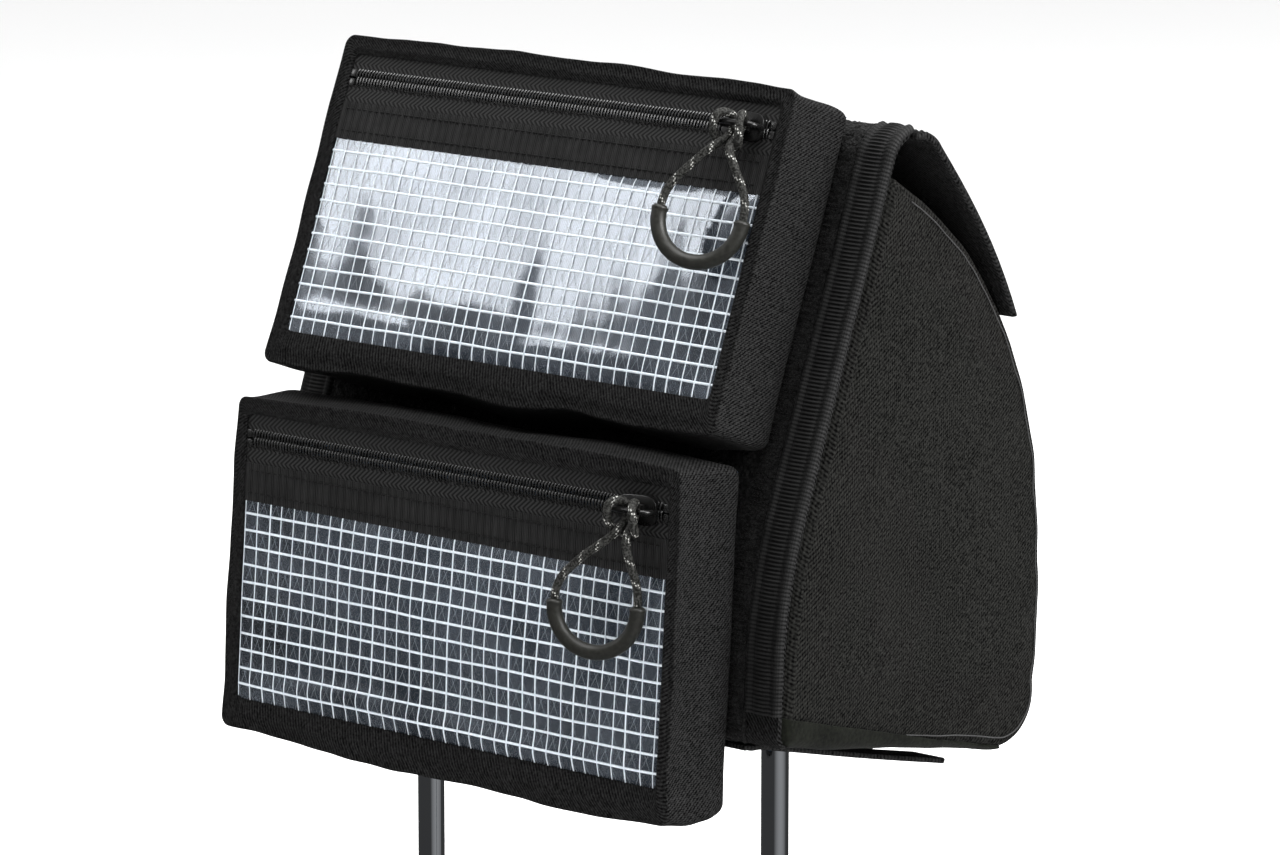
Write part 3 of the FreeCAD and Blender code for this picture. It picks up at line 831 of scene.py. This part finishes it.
SECTION = [
    # depth, growth beyond the outline, share of the way in to the opening, softness
    (2.0, -7.0, 0.0, 0.0), (1.3, -2.6, 0.0, 0.1), (1.4, -0.6, 0.0, 0.2),
    (2.0, 0.0, 0.0, 0.3), (3.6, 0.3, 0.0, 0.6), (6.5, 0.5, 0.0, 0.8),
    (9.5, 0.6, 0.0, 1.0), (13.0, 0.6, 0.0, 1.0), (16.5, 0.5, 0.0, 1.0),
    (20.0, 0.3, 0.0, 1.0), (23.5, 0.2, 0.0, 0.9), (26.5, 0.3, 0.0, 0.8),
    (29.2, 0.6, 0.0, 0.7), (31.0, 0.9, 0.0, 0.6), (31.9, 0.9, 0.0, 0.6),
    (32.2, 0.3, 0.0, 0.55), (31.9, -0.5, 0.0, 0.55), (32.0, -1.6, 0.02, 0.5),
    (32.5, -2.6, 0.1, 0.5), (32.6, -2.2, 0.3, 0.45), (32.2, -1.5, 0.52, 0.4),
    (31.8, -0.8, 0.75, 0.25), (31.5, -0.2, 0.92, 0.1), (31.2, 0.0, 1.0, 0.0),
    (30.6, 0.1, 1.01, 0.0), (30.2, 0.0, 1.0, 0.0), (29.9, -1.6, 0.8, 0.0)]
OPENING_R, LEAST_R = 2.5, 1.5      # corner radii: the opening's, and the least of any ring


def shell_surface(seed):
    """A pouch's skin, local millimetres: (rings, around, 3)."""
    w = POUCH_W / 2
    outer = (-w, w, 0.0, POUCH_H)
    rings = []
    for depth, grow, share, _ in SECTION:
        x0, x1, z0, z1 = [a + (b - a) * share for a, b in zip(outer, OPENING)]
        r = CORNER + (OPENING_R - CORNER) * min(share, 1.0)
        edge = round_rect(x0 - grow, x1 + grow, z0 - grow, z1 + grow,
                          max(r + grow * 0.5, LEAST_R))
        rings.append(stacked(edge[:, 0], -depth, edge[:, 1]))
    rings = np.array(rings)
    soft = np.array([s[3] for s in SECTION])[:, None]
    share_in = np.clip(np.array([s[2] for s in SECTION]), 0, 1)[:, None]
    x, y, z = rings[..., 0], rings[..., 1], rings[..., 2]
    centre = (z - POUCH_H / 2) / (POUCH_H / 2)
    side = x / w
    low = smooth_step((-centre - 0.75) / 0.25)
    high = smooth_step((centre - 0.75) / 0.25)
    ends = smooth_step((np.abs(side) - 0.9) / 0.1)
    length = x / 1000 + 0.37 * seed
    around = (y + z) / 1000
    wave = ripple(length, around, 0.055, seed)
    fine = ripple(length, around, 0.016, seed + 7, 14)
    middle = 1 - side ** 2
    # x, y and z follow the rings, so each step below works on points already moved
    rings[..., 2] -= low * soft * (1.6 + 2.6 * middle + 2.0 * wave + 0.7 * fine)
    rings[..., 2] += high * soft * (0.6 + 1.5 * middle + 1.3 * wave + 0.4 * fine)
    tall = ripple(around, z / 1000, 0.05, seed + 3)
    rings[..., 0] += np.sign(side) * ends * soft * (0.3 + 1.1 * tall + 0.35 * fine)
    rings[..., 0] += np.sign(side) * low * ends * soft * 1.8
    # the gusset's two ends lap in the middle of the pouch's foot
    lap = np.exp(-((x + 8.0) / 1.6) ** 2) - 0.8 * np.exp(-((x + 11.5) / 1.5) ** 2)
    rings[..., 2] -= low * (1 - share_in) * 0.8 * lap
    facing = smooth_step((-y - 28.0) / 3.0) * soft
    rings[..., 1] -= facing * (0.9 * wave + 0.35 * fine + 1.0 * low * middle)
    return rings


def thicken(thing, thickness, offset=-1.0):
    wall = thing.modifiers.new("wall", "SOLIDIFY")
    wall.thickness = thickness
    wall.offset = offset


def pouch_shell(pouch, seed):
    rings = shell_surface(seed)
    count, around = rings.shape[:2]
    # the map runs round the gusset's middle and in from its back edge
    inward = np.linalg.norm(np.diff(rings, axis=0), axis=2).mean(1)
    v = np.concatenate([[0], np.cumsum(inward)])
    uv = stacked(distance_along(rings[10]), v[:, None]) * MM
    thing = finish_mesh(pouch.name + "_shell", pouch.place(rings.reshape(-1, 3)),
                        grid_faces(count, around, wrap_cols=True), uv)
    thicken(thing, 1.1 * MM)
    smooth = thing.modifiers.new("smooth", "SUBSURF")
    smooth.levels = smooth.render_levels = 1
    pouch.dress(thing, "pouch_fabric", "pouch_fabric", "gusset", "front_frame")


def film_depth(pouch, x, z):
    """The clear window's local y: it bows outward, with waves and a rolled foot."""
    x0, x1, z0, _ = OPENING
    s = np.clip((x - x0) / (x1 - x0), 0, 1)
    t = np.clip((z - z0) / (WINDOW_HIGH - z0), 0, 1)
    hold = np.sin(math.pi * s) ** 0.5 * np.sin(math.pi * t) ** 0.5
    bow = 1.2 + 1.6 * s
    seed = 11 if pouch.name == "upper" else 23
    wave = ripple(x / 1000, z / 1000 * 0.6, 0.09, seed)
    streak = ripple(x / 1000, z / 1000 * 0.22, 0.026, seed + 1, 14)
    sag = ripple(x / 1000 * 0.5, z / 1000, 0.04, seed + 2, 8)
    height = 5.0 + 2.5 * ripple(x / 1000, x * 0, 0.07, seed + 3, 6)
    buckle = BUCKLE[pouch.name] * np.exp(-((z - z0 - height) / 4.5) ** 2)
    return -30.4 - hold * (bow + buckle + 0.7 * wave + 0.5 * streak + 0.6 * sag)


def window(pouch):
    x0, x1, z0, _ = OPENING
    x, z = np.meshgrid(np.linspace(x0 - 3.0, x1 + 3.0, 140),
                       np.linspace(z0 - 4.0, WINDOW_HIGH + 1.0, 60), indexing="ij")
    y = film_depth(pouch, x, z)
    thing = slab(pouch.name + "_window_film", pouch.place(stacked(x, y, z)),
                 pouch.place(stacked(x, y + 0.3, z)), stacked(x, z) * MM)
    pouch.dress(thing, "window_film", "window_film", "window")


def yarn_parts(pouch, x, z, width, thick, lift):
    """A flat yarn on the film along local (x, z) points."""
    line = stacked(x, film_depth(pouch, x, z) - lift, z)
    count, corners = len(x), 4
    step = np.gradient(line, axis=0)
    side = unit_rows(stacked(-step[:, 2], 0.0, step[:, 0]))
    out = np.array([0, -1.0, 0])
    verts = np.stack([line + side * width / 2, line + out * thick,
                      line - side * width / 2, line - out * 0.02], 1)
    faces = grid_faces(count, corners, wrap_cols=True)
    faces.append((0, 1, 2, 3))
    last = corners * (count - 1)
    faces.append((last + 3, last + 2, last + 1, last))
    uv = stacked(np.arange(count)[:, None] * MM, np.arange(corners) * 0.2 * MM)
    return pouch.place(verts.reshape(-1, 3)), faces, uv.reshape(-1, 2)


def clipped(x0, z0, x1, z1, box):
    """The part of a segment inside a box, or None."""
    lo, hi = 0.0, 1.0
    for a, d, low, high in ((x0, x1 - x0, box[0], box[1]), (z0, z1 - z0, box[2], box[3])):
        if abs(d) < 1e-9:
            if not low <= a <= high:
                return None
            continue
        t = sorted(((low - a) / d, (high - a) / d))
        lo, hi = max(lo, t[0]), min(hi, t[1])
    return (lo, hi) if hi - lo > 0.01 else None


def scrim(pouch, seed):
    """The grid of yarns that reinforces the window."""
    x0, x1, z0, _ = OPENING
    x0, x1, z0 = x0 - 2.5, x1 + 2.5, z0 - 3.5
    box = (x0, x1, z0, WINDOW_HIGH)
    pick = np.random.default_rng(seed)
    main, fine = [], []
    for z in np.arange(z0 + 2.5, WINDOW_HIGH, SCRIM_PITCH):
        x = np.linspace(x0, x1, 110)
        drift = 0.25 * ripple(x / 1000, x * 0 + z, 0.05, seed + int(z))
        main.append(yarn_parts(pouch, x, z + drift, 0.95, 0.16, 0.02))
    for x in np.arange(x0 + 3.0, x1, SCRIM_PITCH):
        z = np.linspace(z0, WINDOW_HIGH, 44)
        drift = 0.35 * ripple(z / 1000, z * 0 + x, 0.04, seed + int(x) + 200)
        wide = 0.74 if pick.random() < 0.4 else 0.52
        across = x + drift + pick.uniform(-0.4, 0.4)
        main.append(yarn_parts(pouch, across, z, wide, 0.14, 0.16))
    run = WINDOW_HIGH - z0
    lean = run / 2.0
    for direction in (-1, 1):
        for start in np.arange(x0 - lean, x1 + lean, SCRIM_PITCH):
            a, b = (start, start + lean) if direction > 0 else (start + lean, start)
            part = clipped(a, z0, b, WINDOW_HIGH, box)
            if not part:
                continue
            t = np.linspace(part[0], part[1], 40)
            x, z = a + (b - a) * t, z0 + run * t
            x = x + 0.2 * ripple(z / 1000, x * 0, 0.03, seed + int(start) + 400)
            fine.append(yarn_parts(pouch, np.clip(x, x0, x1), z, 0.13, 0.05, 0.05))
    pouch.dress(joined(pouch.name + "_scrim_grid", main), "scrim", "window_film")
    pouch.dress(joined(pouch.name + "_scrim_diagonals", fine), "fine_scrim", "window_film")


def stitches(name, line, pitch, length, radius, lift):
    """Short threads laid along a line; lift is one outward vector per point."""
    along = distance_along(line)
    hump = np.sin(np.linspace(0, math.pi, 5))[:, None] * 0.9 - 0.45
    swell = np.array([0.55, 0.95, 1, 0.95, 0.55])
    parts = []
    for start in np.arange(pitch * 0.3, along[-1] - length, pitch):
        at = start + np.linspace(0, length, 5)
        path = points_at(at, along, line) + points_at(at, along, lift) * radius * hump
        parts.append(tube_parts(path, radius * swell, 6))
    return joined(name, parts)


def strip(pouch, name, z0, z1, depth, thick, material, slot, node, ribs=0.0, pitch=12.0):
    """A flat tape across the pouch's front.  ribs is the height of its ribs."""
    x0, x1, _, _ = OPENING
    x, z = np.meshgrid(np.linspace(x0, x1, int((x1 - x0) / (pitch / 6))),
                       np.linspace(z0, z1, 7), indexing="ij")
    y = -depth - 0.25 * ripple(x / 1000, z / 1000, 0.06, 5)
    face = y - ribs * (0.5 + 0.5 * np.cos(2 * math.pi * x / pitch))
    thing = slab(f"{pouch.name}_{name}", pouch.place(stacked(x, face, z)),
                 pouch.place(stacked(x, y + thick, z)), stacked(x, z) * MM, 60)
    pouch.dress(thing, material, slot, node)


def coil(pouch, half):
    """One side of the zip chain: a flattened nylon spiral."""
    x0, x1 = OPENING[0] + 3.2, OPENING[1] - 3.2
    pitch, steps = 1.5, 12
    turns = int((x1 - x0) / pitch)
    t = np.arange(turns * steps) * 2 * math.pi / steps
    sign, ahead = (1, 0) if half == "upper" else (-1, pitch / 2)
    x = x0 + t / (2 * math.pi) * pitch + ahead
    z = ZIP_Z + sign * (1.55 - 2.0 * np.cos(t))
    y = -POUCH_D + 0.95 - 1.15 * np.sin(t)
    radius = 0.36 + 0.12 * (np.cos(t) > 0.6)
    tube = tube_parts(pouch.place(stacked(x, y, z)), radius[:, None] * MM, 7)
    thing = joined(f"{pouch.name}_zip_coil_{half}_spiral", [tube])
    pouch.dress(thing, "zip_coil", "zip_coil", "zip_coil_" + half)


def zip_stops(pouch):
    """The moulded blocks that end the chain."""
    a = np.linspace(0, 2 * math.pi, 24, endpoint=False)
    parts = []
    for x in (OPENING[0] + 1.5, OPENING[1] - 1.5):
        for z in (ZIP_Z - 1.75, ZIP_Z + 1.75):
            bulge = stacked(signed_power(np.cos(a), 0.5) * 1.35 + x,
                            signed_power(np.sin(a), 0.5) * 1.5 + z)
            parts.append(plate_parts(bulge, -POUCH_D + 1.9, -POUCH_D - 0.4, 0.35, pouch))
    thing = joined(pouch.name + "_zip_end_stops", parts, sharp=40)
    pouch.dress(thing, "zip_coil", "zip_coil", "zip_stops")


def back_sheet(pouch, seed):
    """The pouch's back, with its lining on the inside."""
    inset = 1.2
    w = POUCH_W / 2 - inset
    x, z = np.meshgrid(np.linspace(-w, w, 90), np.linspace(inset, POUCH_H - inset, 50),
                       indexing="ij")
    swell = np.sin(math.pi * (x + w) / (2 * w)) * np.sin(math.pi * z / POUCH_H)
    wave = ripple(x / 1000, z / 1000, 0.05, seed + 50)
    inside = pouch.place(stacked(x, -2.9 - swell * (1.2 + 0.9 * wave), z))
    outside = pouch.place(stacked(x, -1.25, z))
    thing = slab(pouch.name + "_back_sheet", inside, outside, stacked(x, z) * MM)
    pouch.dress(thing, "lining", "pouch_fabric", "back_panel")


def front_stitching(pouch):
    """The two rows of stitches along the window's band."""
    out = pouch.turn @ np.array([0, -1.0, 0])
    x = np.linspace(OPENING[0] + 1, OPENING[1] - 1, 120)
    for i, z in enumerate((WINDOW_HIGH + 3.2, BAND_HIGH - 2.6)):
        line = pouch.place(stacked(x, -31.15, z))
        thing = stitches(f"{pouch.name}_band_stitches_{i + 1}", line, 3.0 * MM, 2.3 * MM,
                         0.30 * MM, np.tile(out, (len(line), 1)))
        pouch.dress(thing, "stitch", "webbing")


def build_pouch(name, seed):
    pouch = Pouch(name)
    pouch_shell(pouch, seed)
    back_sheet(pouch, seed)
    window(pouch)
    scrim(pouch, seed)
    strip(pouch, "band_tape", WINDOW_HIGH, BAND_HIGH, 31.0, 1.0, "band", "webbing",
          "window_band", 0.18, 1.1)
    strip(pouch, "zip_tape_low", BAND_HIGH - 1.0, ZIP_Z - CHAIN_HALF + 0.6, 30.7, 0.6,
          "zip_tape", "zip_tape", "zip_tape_lower")
    strip(pouch, "zip_tape_high", ZIP_Z + CHAIN_HALF - 0.6, OPENING[3] + 0.8, 30.7, 0.6,
          "zip_tape", "zip_tape", "zip_tape_upper")
    coil(pouch, "lower")
    coil(pouch, "upper")
    zip_stops(pouch)
    slider(pouch)
    front_stitching(pouch)


# --- headrest cushion ------------------------------------------------------

HALF = 128.5 * MM
EDGE_R = 6.0 * MM        # rounding of the cushion's edge at its side seams
SIDE_DOME = 2.2 * MM
CUSHION_STEPS = 300      # round its outline
LEANING_BAND = ((-44.7, 20.0), (74.8, -11.0))    # (y, z) of the felt's top edge, mm


def cushion_parts(grow, half, seed):
    """The headrest's skin: a wrap, and a panel on each side, grown by grow."""
    loop = resample(cap_outline("foam_core"), CUSHION_STEPS, closed=True)
    normal = outward_2d(loop)
    along = distance_along(loop)
    centre = loop.mean(0)
    ends = np.linspace(0, math.pi / 2, 8)
    xs = np.concatenate([-half + EDGE_R * (1 - np.sin(ends[::-1])),
                         np.linspace(-half + EDGE_R, half - EDGE_R, 90)[1:-1],
                         half - EDGE_R * (1 - np.sin(ends))])
    into = np.maximum(EDGE_R - (half - np.abs(xs)), 0) / EDGE_R
    drop = EDGE_R * (1 - np.sqrt(np.maximum(1 - into ** 2, 0))) * 0.75
    near = np.exp(-((half - np.abs(xs)) / (9 * MM)) ** 2)
    pucker = ripple(along[:, None], along[:, None] * 0, 0.013, seed)
    soft = ripple(along[:, None], xs[None], 0.075, seed + 1)
    offset = 2 * MM + grow - drop[None] + 0.35 * MM * pucker * near + 0.5 * MM * soft
    path = loop[:, None] + normal[:, None] * offset[..., None]
    rows = stacked(xs, path[..., 0], path[..., 1])
    faces = grid_faces(*rows.shape[:2], wrap_rows=True)
    uv = stacked(xs, along[:, None])
    parts = [(rows.reshape(-1, 3), faces, uv.reshape(-1, 2))]
    inward = (0.0, 0.02, 0.045, 0.08, 0.13, 0.2, 0.29, 0.4, 0.52, 0.65, 0.78, 0.9)
    for sign, edge in ((1, rows[:, -1]), (-1, rows[:, 0])):
        rings = [edge]
        for share in inward[1:]:
            ring = centre + (edge[:, 1:] - centre) * (1 - share)
            spread = min(share / 0.05, 1.0)
            waves = ripple(ring[:, 0], ring[:, 1], 0.06, seed + 5 + sign)
            tight = pucker[:, 0] * math.exp(-((share - 0.05) / 0.05) ** 2)
            out = SIDE_DOME * (1 - (1 - share) ** 6) + 0.5 * MM * waves * spread
            out = out - 1.1 * MM * math.exp(-(share / 0.012) ** 2) + 0.35 * MM * tight * spread
            rings.append(stacked(sign * (half + out), ring[:, 0], ring[:, 1]))
        middle = np.array([[sign * (half + SIDE_DOME), *centre]])
        faces = grid_faces(len(rings), CUSHION_STEPS, wrap_cols=True, flip=sign < 0)
        last = (len(rings) - 1) * CUSHION_STEPS
        for j in range(CUSHION_STEPS):
            tri = (last + j, last + (j + 1) % CUSHION_STEPS, last + CUSHION_STEPS)
            faces.append(tri[::-1] if sign < 0 else tri)
        verts = np.concatenate([*rings, middle])
        parts.append((verts, faces, verts[:, 1:]))
    return parts


def welded(thing):
    """The same piece with the points that its parts share made one."""
    mesh = bmesh.new()
    mesh.from_mesh(thing.data)
    bmesh.ops.remove_doubles(mesh, verts=mesh.verts, dist=1e-6)
    bmesh.ops.recalc_face_normals(mesh, faces=mesh.faces)
    mesh.to_mesh(thing.data)
    mesh.free()
    return thing


def cushion():
    parts = cushion_parts(0.0, HALF - 0.3 * MM, 31)
    thing = welded(joined("headrest_cushion_cover", parts))
    thing.data.set_sharp_from_angle(angle=math.radians(65))
    dress(thing, "headrest", "cover_fabric",
          ["foam_core", "cover_wrap", "cover_side_left", "cover_side_right"])
    # a thread in each side seam, above the felt and behind the pouches' panel
    felt_y, felt_z = np.array(LEANING_BAND).T * MM
    seam_gap, panel_y = 2 * MM, 0.0235
    for sign, edge, word in ((1, -1, "right"), (-1, 0, "left")):
        seam = parts[0][0].reshape(CUSHION_STEPS, -1, 3)[:, edge]
        seam = np.concatenate([seam, seam[:1]])
        high = seam[:, 2] > np.interp(seam[:, 1], felt_y, felt_z) - seam_gap
        start = int(np.argmax(~high[:-1] & high[1:]))
        order = np.roll(np.arange(CUSHION_STEPS), -start - 1)
        run = [i for i in order if high[i] and seam[i, 1] > panel_y]
        line = seam[run] + [sign * 0.15 * MM, 0, 0]
        wiggle = ripple(np.arange(len(line)) * MM, np.zeros(len(line)), 0.006, 77)
        line[:, 0] += 0.25 * MM * wiggle
        tube = tube_parts(resample(line, 420), 0.28 * MM, 6)
        dress(joined(f"side_seam_thread_{word}", [tube]), "headrest", "pale_stitch")


def felt_underside():
    parts = cushion_parts(0.75 * MM, HALF + 0.4 * MM, 31)
    thing = welded(joined("underside_felt_pan", parts))
    a, b = (Vector((0, y * MM, z * MM)) for y, z in LEANING_BAND)
    up = Vector((0, -(b - a).z, (b - a).y)).normalized()
    mesh = bmesh.new()
    mesh.from_mesh(thing.data)
    bmesh.ops.bisect_plane(mesh, geom=mesh.verts[:] + mesh.edges[:] + mesh.faces[:],
                           plane_co=a, plane_no=up, clear_outer=True)
    mesh.to_mesh(thing.data)
    mesh.free()
    thicken(thing, 1.3 * MM)
    dress(thing, "headrest", "underside_felt", ["cover_underside"])


# --- wrap ------------------------------------------------------------------

PANEL_STEPS, FIELD_STEPS, HOOK_STEPS = 160, 330, 90      # points along each sheet
POST_X, SLOT_HALF = 87 * MM, 8.5 * MM
STRAY_COUNT, STRAYS_FROM_X = 3000, 0.103      # loose loops show right of the pouches


def sheet_lines(node, count):
    """Outer and inner (y, z) lines of a strip node, evenly spaced."""
    outer, inner = strip_sides(node)
    return resample(outer, count), resample(inner, count)


def sheet_grid(xs, line):
    """A sheet's points: the (y, z) points of line at each x.  line may have a row
    of its own for each x."""
    line = np.broadcast_to(line, (len(xs), *line.shape[-2:]))
    return stacked(xs[:, None], line[..., 0], line[..., 1])


def box_x(node):
    low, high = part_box(node)[:2]
    return low[0], high[0]


def backing():
    """The stiff panel that the loop field and the bindings are sewn to."""
    outer, inner = sheet_lines("panel_backing", PANEL_STEPS)
    x0, x1 = box_x("panel_backing")
    xs = np.linspace(x0 + 1.2 * MM, x1 - 1.2 * MM, 60)
    length = step_lengths(outer).sum()
    uv = stacked(xs[:, None], np.linspace(0, length, PANEL_STEPS))
    thing = slab("panel_backing_cloth", sheet_grid(xs, outer), sheet_grid(xs, inner), uv)
    dress(thing, "headrest", "pouch_fabric", ["panel_backing"])


def loop_sheet():
    """The field of matted loops that the pouches' hook patches grip."""
    outer, inner = sheet_lines("loop_field", FIELD_STEPS)
    x0, x1 = box_x("loop_field")
    xs = np.linspace(x0, x1, 260)
    length = step_lengths(outer).sum()
    s = np.linspace(0, length, FIELD_STEPS)
    nap = ripple(xs[:, None], s[None], 0.0035, 61, 24)
    pick = np.random.default_rng(62)
    nap = 0.30 * nap + 0.25 * pick.standard_normal(nap.shape)
    lift = np.clip(nap, -1.2, 1.2) * 0.8 * MM - 0.2 * MM
    normal = outward_2d(outer, closed=False)
    thing = slab("loop_pile_sheet", sheet_grid(xs, outer + normal * lift[..., None]),
                 sheet_grid(xs, inner), stacked(xs[:, None], s))
    dress(thing, "headrest", "loop_pile", ["loop_field"])
    t = np.linspace(0, 1, 5)[:, None]
    parts = []
    for _ in range(STRAY_COUNT):
        x, k = pick.uniform(STRAYS_FROM_X, x1), pick.integers(2, FIELD_STEPS - 20)
        base = np.array([x, *(outer[k] + normal[k] * 0.1 * MM)])
        up = np.array([0, *normal[k]])
        lean = pick.normal(0, 0.6, 3)
        tall = pick.uniform(0.5, 1.5) * MM
        side = np.array([math.cos(k * 1.7), 0, math.sin(k * 1.7)]) + lean * 0.4
        loop = base + up * tall * np.sin(math.pi * t * 0.85) + side * t * 0.9 * MM
        parts.append(tube_parts(loop, 0.045 * MM, 3))
    dress(joined("loop_pile_strays", parts), "headrest", "webbing")


def two_edges(t, width):
    """1 over the two rows of a webbing's edge ribs, t = 0 to 1 across it."""
    return np.exp(-((t - 0.13) / width) ** 2) + np.exp(-((t - 0.87) / width) ** 2)


def webbing_across(t):
    """Height of the binding's cross-section over its core, millimetres; t 0..1."""
    middle = np.clip(1 - ((t - 0.5) / 0.24) ** 4, 0, 1)
    drop = np.clip((0.06 - np.minimum(t, 1 - t)) / 0.06, 0, 1)
    return 0.9 * two_edges(t, 0.10) + 0.75 * middle - 1.2 * drop ** 2 - 0.5


def binding(word):
    """A ribbed webbing folded over the panel's edge and sewn down."""
    node, rib = "binding_" + word, 1.42 * MM
    outer, inner = strip_sides(node)
    length = step_lengths(outer).sum()
    rows = int(length / (rib / 5))
    outer, inner = resample(outer, rows), resample(inner, rows)
    normal = outward_2d(outer, closed=False)
    x0, x1 = box_x(node)
    t = np.linspace(0, 1, 31)
    s = np.linspace(0, length, rows)[:, None]
    ribs = np.cos(2 * math.pi * s / rib)
    middle = np.exp(-((t - 0.5) / 0.22) ** 4)
    lift = webbing_across(t) + 0.20 * ribs * middle + 0.12 * -ribs * two_edges(t, 0.09)
    waves = ripple(s, 0.0, 0.05, 71 if word == "right" else 72)
    face = outer[:, None] + normal[:, None] * ((lift + 0.35 * waves) * MM)[..., None]
    xs = x0 + (x1 - x0) * t + 0.5 * MM * ripple(s, 0.0, 0.07, 75)
    top = stacked(xs, face[..., 0], face[..., 1])
    back = stacked(xs, inner[:, :1], inner[:, 1:])
    thing = slab(f"binding_webbing_{word}", top, back, stacked(s, t * (x1 - x0)))
    dress(thing, "headrest", "webbing", [node])


def flap_grid(outer, inner, xs, seed):
    """Grids of a hanging sheet between two lines, slightly wavy, its map, and the
    distance along it."""
    s = distance_along(outer)
    wave = ripple(xs[:, None], s[None], 0.11, seed) * MM
    lift = wave * (0.3 + 0.9 * (s / s[-1])[None])
    shift = outward_2d(outer, closed=False) * lift[..., None]
    return (sheet_grid(xs, outer + shift), sheet_grid(xs, inner + shift),
            stacked(xs[:, None], s), s)


def front_flap():
    outer, inner = sheet_lines("front_flap", 70)
    x0, x1 = box_x("front_flap")
    xs = np.linspace(x0, x1, 110)
    top, bottom, uv, s = flap_grid(outer, inner, xs, 81)
    thing = slab("front_flap_cloth", top, bottom, uv, 50)
    round_edges(thing, 1.1 * MM)
    dress(thing, "headrest", "pouch_fabric", ["front_flap"])
    # two rows of stitches near each side edge, on both faces
    out = np.insert(outward_2d(outer, closed=False), 0, 0.0, axis=1)
    number = 0
    for inset, column in ((2.6, 1), (5.4, 2)):
        for i, x in ((column, x0 + inset * MM), (-1 - column, x1 - inset * MM)):
            for face, lift in ((top, out), (bottom, -out)):
                number += 1
                line = face[i] + [x - xs[i], 0, 0] + lift * 0.12 * MM
                thing = stitches(f"flap_stitches_{number}", line, 3.1 * MM, 2.4 * MM,
                                 0.26 * MM, lift)
                dress(thing, "headrest", "stitch")


def round_edges(thing, width):
    """Ease the rim of a sheet so that its edges don't look cut from board."""
    bevel = thing.modifiers.new("rim", "BEVEL")
    bevel.width = width
    bevel.segments = 3
    bevel.limit_method = "ANGLE"
    bevel.angle_limit = math.radians(50)


def under_flap():
    """The strap under the headrest, slotted for the two posts."""
    outer, inner = sheet_lines("under_flap", 90)
    x0, x1 = box_x("under_flap")
    xs = np.linspace(x0, x1, 113)
    top, bottom, uv, s = flap_grid(outer, inner, xs, 91)
    middle = (top + bottom) / 2
    verts = middle.reshape(-1, 3)
    kept = []
    for quad in grid_faces(*middle.shape[:2]):
        x, y, _ = verts[list(quad)].mean(0)
        if abs(abs(x) - POST_X) >= SLOT_HALF or y <= -SLOT_HALF:
            kept.append(quad)
    thing = finish_mesh("under_strap_cloth", verts, kept, uv)
    thicken(thing, 2.2 * MM, 0.0)
    round_edges(thing, 0.8 * MM)
    dress(thing, "headrest", "pouch_fabric", ["under_flap"])


def hook_sheet(node, body):
    """A hook patch: a thin tape whose face bristles with stubs."""
    outer, inner = sheet_lines(node, HOOK_STEPS)
    normal = outward_2d(outer, closed=False)
    xs = np.linspace(*box_x(node), 200)
    pick = np.random.default_rng(len(node))
    stub = pick.random((len(xs), HOOK_STEPS)) * 0.25 * MM - 0.25 * MM
    top, bottom = [sheet_grid(xs, line + normal * lift[..., None])
                   for line, lift in ((outer, stub * 0.3), (inner, -stub))]
    along = np.linspace(0, step_lengths(outer).sum(), HOOK_STEPS)
    thing = slab(node + "_tape", top, bottom, stacked(xs[:, None], along))
    dress(thing, body, "hook_tape", [node])


def tack():
    """The star of stitches that locks the panel's lower right corner."""
    tack_x, from_edge, reach, arms = 112.0 * MM, 4.5 * MM, 3.4 * MM, 7
    outer, _ = sheet_lines("panel_backing", PANEL_STEPS)
    normal = outward_2d(outer, closed=False)
    low = int(np.argmin(outer[:, 1]))
    inward = 1 if low < PANEL_STEPS / 2 else -1
    along = outer[low + inward * 6] - outer[low]
    along /= np.linalg.norm(along)
    up = np.array([0, *normal[low]])
    centre = np.array([tack_x, *(outer[low] + along * from_edge)]) + up * 0.35 * MM
    t = np.linspace(-1, 1, 9)[:, None]
    parts = []
    for k in range(arms):
        a = math.pi * k / arms
        arm = np.array([math.cos(a), *(along * math.sin(a))]) * reach
        line = centre + t * arm + up * (0.3 * MM * (1 - t ** 2))
        parts.append(tube_parts(line, 0.3 * MM, 6))
    dress(joined("corner_bar_tack", parts), "headrest", "stitch")


# --- metalwork -------------------------------------------------------------

METALWORK = {"post_rod": "chrome", "carrier_plate": "steel", "crossbar_saddle_left": "steel",
             "crossbar_saddle_right": "steel", "saddle_screws": "screw"}


def metalwork():
    """The CAD nodes that are kept as they are, with their materials."""
    for node, material in METALWORK.items():
        mesh = frame["nodes"][node].data
        if not mesh.materials:
            mesh.materials.append(MATERIALS[material])
        for i in range(len(mesh.materials)):
            mesh.materials[i] = MATERIALS[material]


# --- the whole -------------------------------------------------------------

for number, pouch_name in enumerate(("lower", "upper")):
    pull(Pouch(pouch_name))
    build_pouch(pouch_name, 101 + 40 * number)
    hook_sheet(pouch_name + "_hook_patch", pouch_name + "_pouch")
cushion()
felt_underside()
backing()
loop_sheet()
binding("left")
binding("right")
front_flap()
under_flap()
hook_sheet("under_hook_patch", "headrest")
tack()
metalwork()
camera()
studio()
floor()
